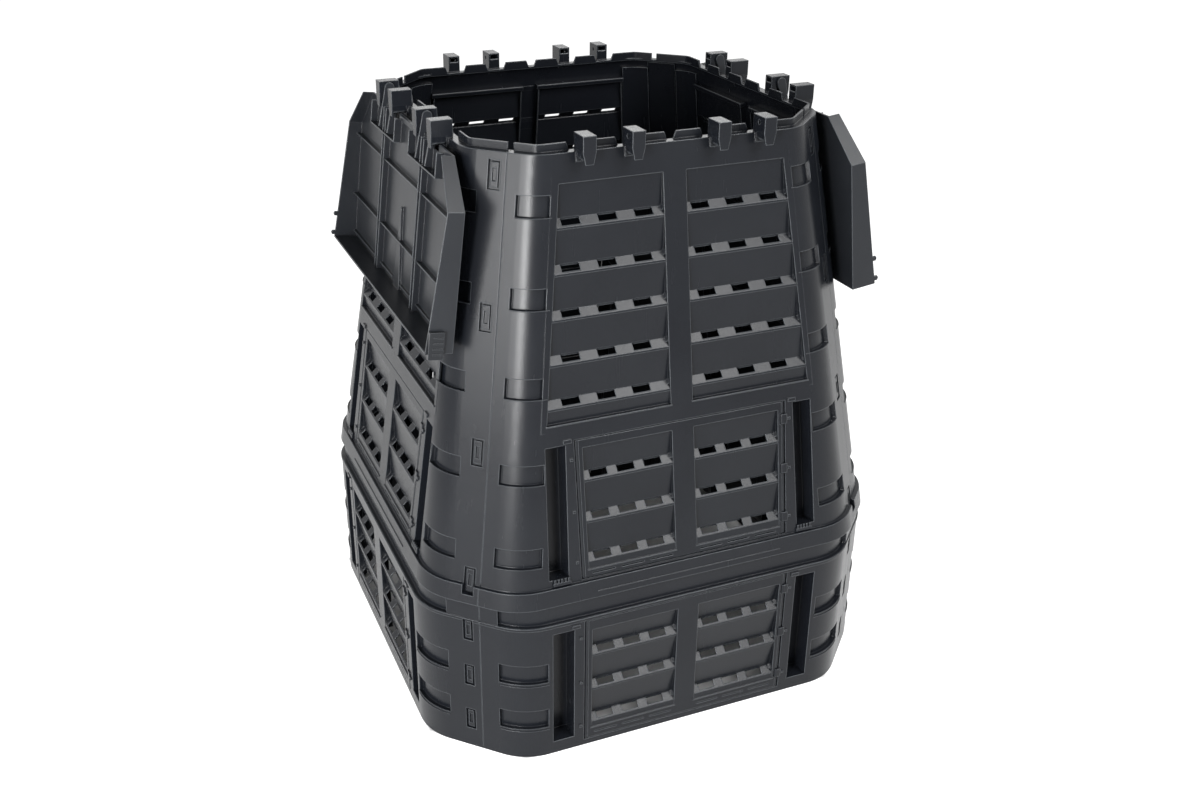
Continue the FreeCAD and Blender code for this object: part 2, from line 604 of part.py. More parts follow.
class Window:
    """A pair of louvred windows either side of the mullion of one wall or door."""

    def __init__(self, level, span, wide, rows, slot_step):
        foot, top = span
        wide_foot, wide_top = wide
        ledge, step, count = rows
        self.level = level
        self.foot = foot
        self.top = top
        self.wide_foot = wide_foot
        self.wide_top = wide_top
        self.ledges = [ledge + step * (count - 1 - index) for index in range(count)]
        self.slot_step = slot_step

    def wide(self, z):
        """Outer edge of the windows at a height."""
        if self.wide_foot is self.wide_top:
            return self.wide_foot
        share = (z - self.foot) / (self.top - self.foot)
        return self.wide_foot + (self.wide_top - self.wide_foot) * share

    def loops(self):
        """The two openings on the wall plane."""
        low = self.level.rise(self.foot)
        high = self.level.rise(self.top)
        right = [(mullion, low), (self.wide_foot, low), (self.wide_top, high), (mullion, high)]
        left = [(-x, y) for x, y in right]
        return [left, right]

    def cheeks(self):
        """Thin plates along the upright edges of both windows."""
        low = self.level.rise(self.foot) - plate
        high = self.level.rise(self.top) + plate
        foot = self.wide_foot + blade_back
        top = self.wide_top + blade_back
        outer = [(foot, low), (foot + plate, low), (top + plate, high), (top, high)]
        inner = box_loop(mullion - plate, low, mullion - blade_back, high)
        return [outer, [(-x, y) for x, y in outer], inner, [(-x, y) for x, y in inner]]

    def border(self):
        """The wall round both windows, as one opening."""
        low = self.level.rise(self.foot) - frame_wide
        high = self.level.rise(self.top) + frame_wide
        foot = self.wide_foot + frame_wide
        top = self.wide_top + frame_wide
        return [(-foot, low), (foot, low), (top, high), (-top, high)]

    def beads(self):
        """Raised beads along the bottom edges of both windows."""
        low = self.level.rise(self.foot) - blade_back
        right = box_loop(mullion - sill_bead, low - sill_bead, self.wide_foot + sill_bead, low)
        return [right, [(-x, y) for x, y in right]]

    def fill(self, body, name, sill):
        """Add cheeks, blades, slots and end wedges to a plate that has the windows."""
        face = self.level
        reach = ledge_deep + blade + 1
        pad(body, name + "Cheeks", face.front(-1), self.cheeks(), reach, back=True)
        pad(body, name + "Beads", face.front(-1), self.beads(), sill_proud + 1)
        start = self.top + wall
        rows = self.ledges + [self.foot] if sill else self.ledges
        for index, ledge in enumerate(rows):
            last = index == len(self.ledges)
            deep = sill_deep if last else ledge_deep
            tag = "%sRow%d" % (name, index + 1)
            if last:
                ledge = ledge - blade_back
            y_top = face.y_at(start) + (blade_set if index else top_set)
            y_low = face.y_at(ledge) + blade_back
            under = ledge - ledge_lip
            if not sill and index == len(rows) - 1:
                under = self.foot - 1
            y_lip = face.y_at(under) + blade_back
            floor = ledge - blade
            bend = ledge - blade * 0.4
            row = [
                (y_top, start),
                (y_low + deep, ledge + ledge_rise),
                (y_low, ledge),
                (y_lip, under),
                (y_lip + blade, under),
                (y_low + blade, bend),
                (y_low + deep + blade, bend + ledge_rise),
                (y_top + blade, start),
            ]
            if last:
                row = [
                    (y_top, start),
                    (y_low + deep, ledge),
                    (y_low + 1, ledge),
                    (y_low + 1, floor),
                    (y_low + deep + blade, floor),
                    (y_top + blade, start),
                ]
            across = (self.wide(under) + plate / 2) * 2
            pad(body, tag, Plane("YZ_Plane", (0, 0, 0)), [row], across, both=True)
            start = under + blade_set
        gaps = [box_loop(-(mullion - plate), self.level.rise(self.foot - blade) - 2,
                         mullion - plate, self.level.rise(self.top) + 6)]
        if sill:
            low = self.level.rise(self.foot) - 4
            high = self.level.rise(self.top) + 6
            slip = (self.wide_foot - self.wide_top) / (high - low - 10)
            low_x = self.wide_foot + plate + slip * 4
            high_x = self.wide_top + plate - slip * 6
            outer = [(low_x, low), (low_x + 14, low), (high_x + 14, high), (high_x, high)]
            gaps.extend([outer, [(-x, y) for x, y in outer]])
        cut(body, name + "Trim", face.front(-(wall + 0.3)), gaps, reach + 8)
        for index, ledge in enumerate(self.ledges):
            y_low = face.y_at(ledge)
            slots = []
            wedges = []
            for side in (-1, 1):
                middle = (self.wide(ledge) + mullion) / 2 * side - slot_aside
                for turn in (-1, 0, 1):
                    x = middle + self.slot_step * turn
                    slots.append(box_loop(x - slot_wide / 2, y_low + slot_front,
                                          x + slot_wide / 2, y_low + ledge_deep + slot_back))
                end = self.wide(ledge) + 1 if side > 0 else -mullion + 1
                wedges.append([(end - gusset, -1), (end, -1), (end, gusset)])
            tag = "%sSlots%d" % (name, index + 1)
            cut(body, tag, Plane("XY_Plane", (0, 0, ledge + ledge_rise + 1)), slots, ledge_rise + 3.5)
            tag = "%sWedges%d" % (name, index + 1)
            start = (0, ledge + gusset_near * ramp, -(y_low + gusset_near))
            place = Plane("XZ_Plane", start, (1, 0, 0), ramp_turn)
            pad(body, tag, place, wedges, (ledge_deep + 1 - gusset_near) / ramp_cos, back=True)


ramp = ledge_rise / ledge_deep
ramp_angle = math.atan(ramp.value)
ramp_turn = Size("atan(%s)" % ramp.text, math.degrees(ramp_angle))
ramp_cos = Size("cos(atan(%s))" % ramp.text, math.cos(ramp_angle))
base_window = Window(base, (base_view_foot, base_view_top), (door_view, door_view),
                     (base_ledge, door_ledge_step, 3), door_slot_step)
tier_window = Window(tier, (tier_view_foot, tier_view_top), (door_view, door_view),
                     (tier_ledge, door_ledge_step, 3), door_slot_step)
upper_window = Window(tier, (view_foot, view_top), (view_wide_foot, view_wide_top),
                      (view_ledge, view_step, 5), view_slot_step)
rod_x = door_half + rod - rod_sink
post_x = rod_x + rod + door_gap
clip_round = rod + rod_gap + clip_wall


def clip_rises(level, foot, top):
    """Bottom of each of the three rod clips of a door."""
    low = level.rise(foot) + clip_inset
    high = level.rise(top) - clip_inset - clip_long
    return [low, (low + high) / 2, high]


def build_door(name, level, foot, top, window):
    """A door leaf with two louvred windows and a rod along each edge."""
    body = doc.addObject("PartDesign::Body", name)
    low = level.rise(foot)
    high = level.rise(top)
    leaf_loops = [box_loop(-door_half, low, door_half, high)] + window.loops()
    pad(body, name + "Plate", level.front(), leaf_loops, door_plate, back=True)
    window.fill(body, name + "View", False)
    dashes = []
    edge = (low + level.rise(window.foot)) / 2 - 1
    for place in (-3, -2, -1, 1, 2, 3):
        x = (mullion + (door_view - mullion) * (abs(place) - 0.5) / 3) * (1 if place > 0 else -1)
        near = x - dash_long / 2
        dashes.append(box_loop(near, edge - dash_tall / 2, near + dash_long, edge + dash_tall / 2))
    cut(body, name + "Dashes", level.front(2), dashes, door_plate + 4)
    notches = []
    for rise in clip_rises(level, foot, top):
        notches.append(box_loop(rod_x - clip_round - clip_room, rise - clip_room,
                                door_half + 1, rise + clip_long + clip_room))
    cut(body, name + "Notches", level.front(2), notches, door_plate + 4)
    rods = [[(rod_x, rod, rod)], [(-rod_x, rod, rod)]]
    pad(body, name + "Rods", level.across(low), rods, high - low)
    return body


def build_frame(body, name, level, foot, top, pit):
    """The door opening of a panel with its posts, clips, studs and finger recesses."""
    pit_foot, pit_top, near, far, draw = pit
    low = level.rise(foot) - door_gap
    high = level.rise(top) + door_gap
    pit_low = level.rise(pit_foot)
    pit_high = level.rise(pit_top)
    outer = [(near - plate, pit_low - plate), (far + plate, pit_low - plate),
             (far + plate - draw, pit_high + plate), (near - plate - draw, pit_high + plate)]
    inner = [(near, pit_low), (far, pit_low), (far - draw, pit_high), (near - draw, pit_high)]
    boxes = [outer, [(-x, y) for x, y in outer]]
    pits = [inner, [(-x, y) for x, y in inner]]
    pad(body, name + "PitBox", level.front(-1), boxes, pit_deep + plate - 1, back=True)
    cut(body, name + "Pit", level.front(2), pits, pit_deep + 2)
    cut(body, name + "Doorway", level.front(4), [box_loop(-post_x, low, post_x, high)], wall + 7)
    for index, rise in enumerate(clip_rises(level, foot, top)):
        block = [(rod_x, rod - clip_round), (post_x + 3, rod - clip_round),
                 (post_x + 3, rod + clip_round), (rod_x, rod + clip_round, clip_round, True),
                 (rod_x - clip_round, rod, clip_round, True)]
        bore = [(rod_x, rod, rod + rod_gap)]
        pad(body, "%sClip%d" % (name, index + 1), level.across(rise), [block, bore], clip_long)
    studs = []
    for side in (-1, 1):
        for rise in clip_rises(level, foot, top):
            middle = rise + clip_long / 2
            x = (post_x + 7) * side
            studs.append(box_loop(x - 3, middle - 2.5, x + 3, middle + 2.5))
        x = (near - draw - 3) * side
        studs.append(box_loop(x - 8, pit_high + 3, x + 8, pit_high + 10))
    pad(body, name + "Studs", level.front(-1), studs, stud + 1)


def build_dents(body, name, level, span, dents, tall):
    """Dents at both bends with a backing that runs up behind them."""
    thick = dent_deep + wall
    for tag, right in (("Left", False), ("Right", True)):
        ends = [(level.flat(z), level.backing(z, wall - 1, thick, right)) for z in span]
        blend(body, name + "Backing" + tag, ends[0], ends[1])
        for index, middle in enumerate(dents):
            ends = []
            for z in (middle - tall / 2, middle + tall / 2):
                ends.append((level.flat(z), level.sector(z, -1, dent_deep, right)))
            blend(body, "%sDent%s%d" % (name, tag, index + 1), ends[0], ends[1], cutting=True)


def build_keys(body, name, level, span, keys, shape):
    """A tongue behind the left neighbour with its keys, and key windows at the right."""
    key_near, key_wide, key_tall = shape
    ends = [(level.flat(z), level.tongue(z)) for z in span]
    blend(body, name + "Tongue", ends[0], ends[1])
    far = seam_shift - key_near - key_wide
    near = seam_shift - key_near
    centre = (far + near) / 2
    hole_deep = (-skirt_proud - 1, wall + 1)
    key_deep = (1, wall + tongue_gap + 1)
    hollow = (0, key_pit_deep + 1)
    for index, middle in enumerate(keys):
        ends = []
        for z in (middle - key_tall / 2, middle + key_tall / 2):
            ends.append((level.flat(z), level.slab(z, (far, near), hole_deep, True)))
        blend(body, "%sKeyhole%d" % (name, index + 1), ends[0], ends[1], cutting=True)
        ends = []
        for z in (middle - key_tall / 2 + key_inset, middle + key_tall / 2 - key_inset):
            along = (far + key_inset, near - key_inset)
            ends.append((level.flat(z), level.slab(z, along, key_deep, False)))
        blend(body, "%sKey%d" % (name, index + 1), ends[0], ends[1])
        ends = []
        for z in (middle - key_pit_tall / 2, middle + key_pit_tall / 2):
            along = (centre - key_pit_wide / 2, centre + key_pit_wide / 2)
            ends.append((level.flat(z), level.slab(z, along, hollow, False)))
        blend(body, "%sKeyPit%d" % (name, index + 1), ends[0], ends[1], cutting=True)


def build_base_panel(name):
    """A base panel: wall, foot flange, deck, bead, belt, corners and door frame."""
    body = doc.addObject("PartDesign::Body", name)
    pad(body, name + "Wall", base.flat(0), [base.strip(0, 0, wall)], base_top)
    pad(body, name + "Foot", base.flat(0), [base.strip(0, wall - 1, foot_width)], plate)
    pad(body, name + "Deck", base.flat(base_top - plate), [base.strip(0, wall - 1, deck_width)], plate)
    pad(body, name + "Bead", base.flat(bead_low), [base.strip(0, -bead_proud, 1)], bead_tall)
    low = belt_foot - wall
    back = base.belt(0, wall - 1, dent_deep + wall, dent_past + dent_edge)
    pad(body, name + "BeltBack", base.flat(low), [back], base_top - low)
    hollow = base.belt(0, -1, dent_deep, dent_past)
    cut(body, name + "Belt", base.flat(base_top + 1), [hollow], base_top + 1 - belt_foot)
    dents = [base_dent_foot + base_dent_step * index for index in range(2)]
    keys = [base_key_foot + base_key_step * index for index in range(3)]
    build_dents(body, name, base, (foot_width, bead_low), dents, base_dent_tall)
    shape = (base_key_near, base_key_wide, base_key_tall)
    build_keys(body, name, base, (foot_width, base_top - foot_width), keys, shape)
    pit = (base_pit_foot, base_pit_top, base_pit_near, base_pit_far, as_size(0))
    build_frame(body, name, base, base_door_foot, base_door_top, pit)
    return body


def build_tier_panel(name):
    """An upper panel: leaning wall, windows, door frame, corners, rim and brackets."""
    body = doc.addObject("PartDesign::Body", name)
    blend(body, name + "Wall", (tier.flat(base_top), tier.strip(base_top, 0, wall)),
          (tier.flat(rim_top), tier.strip(rim_top, 0, wall)))
    blend(body, name + "Skirt", (tier.flat(base_top), tier.strip(base_top, -skirt_proud, 1)),
          (tier.flat(skirt_top), tier.strip(skirt_top, -skirt_proud, 1)))
    dents = [tier_dent_foot + tier_dent_step * index for index in range(5)]
    keys = [tier_key_foot + tier_key_step * index for index in range(4)]
    low = base_top + plate
    build_dents(body, name, tier, (low, rim_top - deck_width), dents, tier_dent_tall)
    shape = (tier_key_near, tier_key_wide, tier_key_tall)
    build_keys(body, name, tier, (low, rim_top - wall * 2), keys, shape)
    pit = (tier_pit_foot, tier_pit_top, tier_pit_near, tier_pit_far, tier_pit_draw)
    build_frame(body, name, tier, tier_door_foot, tier_door_top, pit)
    build_rim(body, name)
    insert = doc.addObject("PartDesign::Body", name + "Louvres")
    loops = [upper_window.border()] + upper_window.loops()
    pad(insert, name + "ViewPlate", tier.front(), loops, wall * tier.cos, back=True)
    upper_window.fill(insert, name + "View", True)
    cut(body, name + "Opening", tier.front(2), [upper_window.border()], wall + 4)
    joint = body.newObject("PartDesign::Boolean", name + "Join")
    joint.Type = "Fuse"
    joint.setObjects([insert])
    return body


def build_rim(body, name):
    """Flange, notched lip and the four hollow lid brackets of one panel."""
    lip_back = lip_inset + plate
    pad(body, name + "Flange", tier.flat(rim_top - wall), [tier.strip(rim_top, 1, lip_back)], wall)
    lip = lip_line.strip(0, lip_inset, lip_back, lip_short)
    pad(body, name + "Lip", tier.flat(rim_top - 1), [lip], lip_tall + 1)
    gaps = []
    for middle in (-hook_far, -hook_near, as_size(0), hook_near, hook_far):
        half = lip_notch if "hook" in middle.text else lip_notch / 3
        high = rim_top + lip_tall + 2
        gaps.append([(middle - half, rim_top), (middle + half, rim_top),
                     (middle + half + 6, high), (middle - half - 6, high)])
    place = Plane("XZ_Plane", (0, 0, rim_half - lip_inset + 2))
    cut(body, name + "LipGaps", place, gaps, plate + 5)
    slots = []
    for index in range(2):
        x = tab_near + tab_step * index
        slots.append(box_loop(x - tab_wide / 2 - tab_gap, -lid_half - tab_gap,
                              x + tab_wide / 2 + tab_gap, lid_skirt - lid_half + tab_gap))
    cut(body, name + "TabSlots", tier.flat(rim_top + 1), slots, wall + 2)
    top = rim_top + hook_tall
    leg = rim_top - hook_leg
    y_leg = tier.y_at(leg)
    outer = [(-hook_out, leg), (-hook_out, top), (-hook_in, top), (-hook_in, rim_top - 2), (y_leg + 2, leg)]
    inner = [(hook_wall - hook_out, leg - 1), (hook_wall - hook_out, top - hook_wall),
             (1 - hook_in, top - hook_wall), (1 - hook_in, top - hook_wall * 3),
             (-rim_half - hook_wall, rim_top + 1), (y_leg - 1, leg - 1)]
    tapers = []
    for index, middle in enumerate((-hook_far, -hook_near, hook_near, hook_far)):
        start = middle - hook_wide / 2
        pad(body, "%sHook%d" % (name, index + 1), Plane("YZ_Plane", (0, 0, start)), [outer], hook_wide)
        place = Plane("YZ_Plane", (0, 0, start + hook_wall))
        cut(body, "%sHookHollow%d" % (name, index + 1), place, [inner], hook_wide - hook_wall * 2, back=True)
        for side in (-1, 1):
            edge = middle + hook_wide / 2 * side
            outside = edge + side
            tapers.append([(outside, leg - 1), (edge - hook_draw * side, leg - 1), (outside, rim_top + 8)])
    place = Plane("XZ_Plane", (0, 0, -(y_leg - 1.5)))
    cut(body, name + "HookTapers", place, tapers, hook_out - rim_half, back=True)
    for index, side in enumerate((-1, 1)):
        middle = (hook_near + hook_far) / 2 * side
        span = hook_far - hook_near - hook_wide + hook_wall * 2 + 2
        bore = [(-axis_out, rim_top + axis_rise, pin + pin_gap)]
        place = Plane("YZ_Plane", (0, 0, middle))
        cut(body, "%sPinHoles%d" % (name, index + 1), place, [bore], span, both=True)


axis_z = rim_top + axis_rise
hang_sin = sine(hang)
hang_cos = cosine(hang)


class Leaf:
    """Frame of the hanging left lid leaf: along it, out of it and along its axis."""

    def face(self, out):
        """Plane of the plate, moved outward; x is the axis and y runs up the leaf."""
        base = (0, axis_z + out * hang_sin, -axis_out - out * hang_cos)
        return Plane("YZ_Plane", base, (1, 0, 0), Size("(%s * 1 deg)" % hang.text, hang.value))

    def side(self, y):
        """Plane square to the axis; x runs down the leaf and y toward the wall."""
        turn = Size("((-90 - %s) * 1 deg)" % hang.text, -90 - hang.value)
        return Plane("XZ_Plane", (-axis_out, axis_z, -y), (0, 0, 1), turn)


    def square(self, b):
        """Plane square to the leaf at a distance down it; its y is the axis."""
        base = (-axis_out - b * hang_sin, 0, axis_z - b * hang_cos)
        return Plane("XY_Plane", base, (0, 1, 0), Size("(%s * 1 deg)" % hang.text, hang.value))


leaf = Leaf()
pitch_tan = tangent(lid_pitch)
pitch_cos = cosine(lid_pitch)
pitch_sin = sine(lid_pitch)
lid_start_deep = (axis_rise - lid_seat + lid_start * pitch_sin) / pitch_cos - lid_drop
lid_reach = axis_out - lid_split
lid_end_deep = (axis_rise - lid_seat - lid_drop * pitch_cos + lid_reach * pitch_tan) * pitch_cos
lid_end = lid_reach / pitch_cos - (lid_end_deep + lid_drop) * pitch_tan
lid_corner = lid_start + lid_half - lid_hinge_half
lid_free = lid_drop + lid_end_deep
stem_at = lid_end - stem_back
stem_level = latch_inset + latch_wide / 2 + latch_rise - lid_free


def leaf_outline(inset):
    """Plan corners of a lid leaf as (along the axis, along the leaf) pairs."""
    slant = inset * (ROOT2 - 1)
    half = lid_half - inset
    return [
        (-lid_hinge_half + slant, -lid_start),
        (-half, -(lid_corner + slant)),
        (-half, -(lid_end - inset)),
        (half, -(lid_end - inset)),
        (half, -(lid_corner + slant)),
        (lid_hinge_half - slant, -lid_start),
    ]


def build_lid(name):
    """The left lid leaf, hanging open: plate, skirt, ribs, pockets, ears and pins."""
    body = doc.addObject("PartDesign::Body", name)
    pad(body, name + "Plate", leaf.face(lid_drop), [leaf_outline(as_size(0))], lid_plate)
    skirt = leaf_outline(as_size(0)) + list(reversed(leaf_outline(lid_skirt)))
    pad(body, name + "Skirt", leaf.face(lid_drop - 1), [skirt], lid_end_deep + 1, back=True)
    free = lid_drop + lid_start_deep
    deep = lid_drop + lid_end_deep
    over = deep + 20
    wedge = [(lid_start - 5, -free + 5 * pitch_tan), (lid_start - 5, -over), (lid_end + 9, -over),
             (lid_end + 9, -deep - 9 * pitch_tan)]
    cut(body, name + "FreeEdge", leaf.side(-lid_half - 10), [wedge], (lid_half + 10) * 2)
    twins = (hook_near + hook_far) / 2
    span = lid_end - lid_start
    reach = lid_half - lid_skirt / 2
    bars = []
    for share in (as_size(0.31), as_size(0.7)):
        b = lid_start + span * share
        bars.append(box_loop(-reach, -b - rib / 2, reach, -b + rib / 2))
    pad(body, name + "CrossRibs", leaf.face(lid_drop - 0.5), bars, rib_tall + 0.5, back=True)
    bars = []
    for side in (-1, 1):
        for apart in (-1, 1):
            y = twins * side + twin_apart / 2 * apart
            bars.append(box_loop(y - rib / 2, -lid_end + lid_skirt / 2, y + rib / 2, -lid_start - 2))
    pad(body, name + "TwinRibs", leaf.face(lid_drop - 0.5), bars, twin_tall + 0.5, back=True)
    edge = lid_end - 16
    foot = -lid_end + lid_skirt / 2
    tip = -(lid_start + span / 2)
    pieces = [[(-ridge_wide / 2, foot), (ridge_wide / 2, foot), (ridge_tip / 2, tip), (-ridge_tip / 2, tip)],
              box_loop(-reach, -edge - 3, -ridge_wide / 2 - 6, -edge),
              box_loop(ridge_wide / 2 + 6, -edge - 3, reach, -edge)]
    pad(body, name + "Ridge", leaf.face(lid_drop - 0.5), pieces, ridge_tall + 0.5, back=True)
    shelf = lid_start + pocket_long
    walls = []
    holes = []
    for side in (-1, 1):
        near = pocket_near * side
        far = pocket_far * side
        walls.append(box_loop(near, -shelf - rib, far, -shelf))
        for end in (near, far - rib * side):
            walls.append(box_loop(end, -shelf, end + rib * side, -lid_start - 6))
        for index in range(6):
            y = (pocket_near + (pocket_far - pocket_near) * (index + 0.5) / 6) * side
            middle = -lid_drop - pocket_tall / 2
            holes.append(box_loop(middle - hole / 2, y - hole / 2, middle + hole / 2, y + hole / 2))
    pad(body, name + "PocketWalls", leaf.face(lid_drop - 0.5), walls, pocket_tall + 0.5, back=True)
    cut(body, name + "Holes", leaf.square(shelf - 1), holes, rib + 2)
    bridge = pocket_near + 2
    bars = [box_loop(-bridge, -lid_start - strip_wide, bridge, -lid_start)]
    pad(body, name + "Bridge", leaf.face(lid_drop - 0.5), bars, ridge_tall, back=True)
    notches = []
    for middle in (-hook_far, -hook_near, hook_near, hook_far):
        notches.append(box_loop(middle - notch_wide / 2, -lid_start - notch_long, middle + notch_wide / 2,
                                -lid_start + 2))
    cut(body, name + "HookNotches", leaf.face(lid_drop - lid_plate - 1), notches, lid_plate + ridge_tall + 3)
    inner = hook_near + hook_wide / 2 + ear_gap
    outer = hook_far - hook_wide / 2 - ear_gap
    arm = [(0, ear_round, ear_round, True), (-ear_round, 0, ear_round, True), (0, -ear_round),
           (lid_start + 4, -lid_drop - 10), (shelf - 4, -lid_drop - pocket_tall), (shelf, -lid_drop + 1),
           (lid_start, -lid_drop + 1), (lid_start - 9, ear_round / 2)]
    plugs = []
    for index, (y, way) in enumerate(((-outer, -1), (-inner - ear, 1), (inner, -1), (outer - ear, 1))):
        pad(body, "%sEar%d" % (name, index + 1), leaf.side(y + ear), [arm], ear, back=False)
        start = y + ear / 2
        plug = [(as_size(0), as_size(0), pin)]
        length = ear / 2 + ear_gap + hook_wall
        plugs.append((start, way, plug, length))
    for index, (start, way, plug, length) in enumerate(plugs):
        pad(body, "%sPin%d" % (name, index + 1), leaf.side(start), [plug], length, back=way > 0)
    tabs = []
    for index in range(2):
        b = lid_end - (tab_near - lid_split) - tab_step * index
        depth = lid_free - (lid_end - b) * pitch_tan
        left = b - tab_wide / 2
        right = b + tab_wide / 2
        tip = -depth - tab_long
        tabs.append([(left, -depth + 3), (left, tip + 2), (b, tip), (right, tip + 2), (right, -depth + 3)])
    pad(body, name + "Tabs", leaf.side(lid_half), tabs, lid_skirt)
    reach_x = stem_long / 2 + latch_gap
    reach_y = stem_wide / 2 + latch_gap
    slot = box_loop(stem_at - reach_x, stem_level - reach_y,
                    stem_at + reach_x + latch_travel, stem_level + reach_y)
    cut(body, name + "LatchSlot", leaf.side(-lid_half - 2), [slot], lid_skirt + 4)
    return body


def build_latch(name):
    """The sliding latch on the near end of the left leaf, with its stem and keeper."""
    body = doc.addObject("PartDesign::Body", name)
    low = latch_inset - lid_free
    high = low + latch_wide
    start = lid_end + latch_past - latch_long
    end = lid_end + latch_past
    face = -lid_half - latch_gap
    pad(body, name + "Block", leaf.side(face), [box_loop(start, low, end, high)], latch_thick)
    left = stem_at - stem_long / 2
    right = stem_at + stem_long / 2
    foot = stem_level - stem_wide / 2
    top = stem_level + stem_wide / 2
    loop = box_loop(left, foot, right, top)
    pad(body, name + "Stem", leaf.side(face - 1), [loop], lid_skirt + latch_gap * 2 + 2, back=True)
    loop = box_loop(left - keeper, foot, right, top + keeper)
    place = leaf.side(face + latch_gap * 2 + lid_skirt)
    pad(body, name + "Keeper", place, [loop], keeper, back=True)
    ribs = []
    for index in range(4):
        b = start + latch_long * (index + 1) / 5
        ribs.append(box_loop(b - grip, low + latch_wide / 4, b + grip, high - 2))
    pad(body, name + "Grip", leaf.side(face - latch_thick + 0.5), ribs, grip + 0.5)
    return body


def place_copy(master, name, quarter):
    """A copy of a body, turned about the upright axis by quarter turns."""
    body = doc.addObject("PartDesign::Body", name)
    item = doc.addObject("PartDesign::FeatureBase", name + "Copy")
    item.BaseFeature = master
    body.Group = [item]
    body.Tip = item
    body.Placement = Placement(Vector(0, 0, 0), Rotation(Vector(0, 0, 1), 90 * quarter))
    return body


masters = {
    "base_panel": build_base_panel("base_panel_front"),
    "upper_panel": build_tier_panel("upper_panel_front"),
    "base_door": build_door("base_door_front", base, base_door_foot, base_door_top, base_window),
    "upper_door": build_door("upper_door_front", tier, tier_door_foot, tier_door_top, tier_window),
}
nodes = list(masters.values())
for piece, master in masters.items():
    for quarter, side in ((1, "right"), (2, "back"), (3, "left")):
        nodes.append(place_copy(master, "%s_%s" % (piece, side), quarter))
lid = build_lid("lid_left")
latch = build_latch("lid_latch_left")
nodes.extend([lid, latch, place_copy(lid, "lid_right", 2), place_copy(latch, "lid_latch_right", 2)])
doc.recompute()

for item in doc.Objects:
    if "Invalid" in item.State or "Error" in item.State:
        raise RuntimeError("%s failed: %s" % (item.Name, item.State))
for body in nodes:
    shape = body.Shape
    if shape.isNull() or not shape.isValid() or len(shape.Solids) != 1:
        raise RuntimeError("%s is not one valid solid" % body.Name)
    before = 0.0
    for item in body.Group:
        cutting = item.TypeId in ("PartDesign::Pocket", "PartDesign::SubtractiveLoft")
        if cutting and item.Shape.Volume >= before - 0.5:
            raise RuntimeError("%s cuts nothing" % item.Name)
        if item.TypeId.startswith("PartDesign::") and item.Shape.Volume > 0:
            before = item.Shape.Volume

os.makedirs("parts", exist_ok=True)
for body in nodes:
    body.Label = body.Name
    body.Shape.exportStep("parts/%s.step" % body.Name)
    print(body.Name, round(body.Shape.Volume / 1000.0, 1), "cm3", len(body.Shape.Faces), "faces")
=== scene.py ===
"""Compost bin with a two-leaf lid: finishes, fine moulded detail, studio and camera."""
import logging
import math
from dataclasses import dataclass, field
from enum import Enum

import bmesh
import bpy
from mathutils import Matrix, Vector


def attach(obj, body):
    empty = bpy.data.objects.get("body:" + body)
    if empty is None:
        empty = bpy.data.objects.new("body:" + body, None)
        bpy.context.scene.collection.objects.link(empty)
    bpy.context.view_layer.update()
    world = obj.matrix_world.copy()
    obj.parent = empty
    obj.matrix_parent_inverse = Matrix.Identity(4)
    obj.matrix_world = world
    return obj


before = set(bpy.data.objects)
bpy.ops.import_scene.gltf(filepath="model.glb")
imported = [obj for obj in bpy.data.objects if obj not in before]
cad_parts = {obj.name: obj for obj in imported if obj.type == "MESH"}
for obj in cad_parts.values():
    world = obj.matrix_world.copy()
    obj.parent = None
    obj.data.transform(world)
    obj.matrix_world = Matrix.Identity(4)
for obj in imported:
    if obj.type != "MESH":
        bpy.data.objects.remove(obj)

log = logging.getLogger("compost_bin")
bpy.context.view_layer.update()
WHITE = (1.0, 1.0, 1.0, 1.0)

Triple = tuple[float, float, float]
Tree = bpy.types.NodeTree
Node = bpy.types.Node
Socket = bpy.types.NodeSocket
Piece = bpy.types.Object


class Side(Enum):
    """The four sides of the bin, as quarter turns from the front."""

    FRONT = 0
    RIGHT = 1
    BACK = 2
    LEFT = 3


class Gloss(Enum):
    """Roughness of a moulded part, by how its tool was polished."""

    SATIN = 0.26
    SOFT = 0.29
    HANDLED = 0.24


@dataclass(frozen=True)
class GroupSocket:
    """One named input or output of a shader or geometry group."""

    name: str
    kind: str
    value: float | None = None


def number(name: str, value: float | None = None) -> GroupSocket:
    """Socket for a float, with its default value."""
    return GroupSocket(name, "NodeSocketFloat", value)


def whole_number(name: str, value: int) -> GroupSocket:
    """Socket for an integer, with its default value."""
    return GroupSocket(name, "NodeSocketInt", value)


def new_group(name: str, kind: str, inputs: list[GroupSocket],
              outputs: list[GroupSocket]) -> tuple[Tree, Node, Node]:
    """Make a node group with its sockets.

    Args:
        name: its name.
        kind: the type of its tree.
        inputs: its inputs, with their default values.
        outputs: its outputs.

    Returns:
        The group, its input node and its output node.
    """
    tree = bpy.data.node_groups.new(name, kind)
    for way, sockets in (("INPUT", inputs), ("OUTPUT", outputs)):
        for item in sockets:
            made = tree.interface.new_socket(item.name, in_out=way, socket_type=item.kind)
            if item.value is not None:
                made.default_value = item.value
    return tree, tree.nodes.new("NodeGroupInput"), tree.nodes.new("NodeGroupOutput")


def feed(tree: Tree, end: Socket, value: object) -> None:
    """Link an input to another socket, or set it to a plain value.

    Args:
        tree: the tree.
        end: the input.
        value: an output socket, a number or a colour.
    """
    if isinstance(value, Socket):
        tree.links.new(value, end)
    else:
        end.default_value = value


def add_node(tree: Tree, kind: str, **values: object) -> Node:
    """Add a node and feed its inputs.

    Args:
        tree: the tree.
        kind: the type of the node.
        values: what each input gets, named with underscores for spaces.

    Returns:
        The node.
    """
    node = tree.nodes.new(kind)
    for name, value in values.items():
        feed(tree, node.inputs[name.replace("_", " ")], value)
    return node


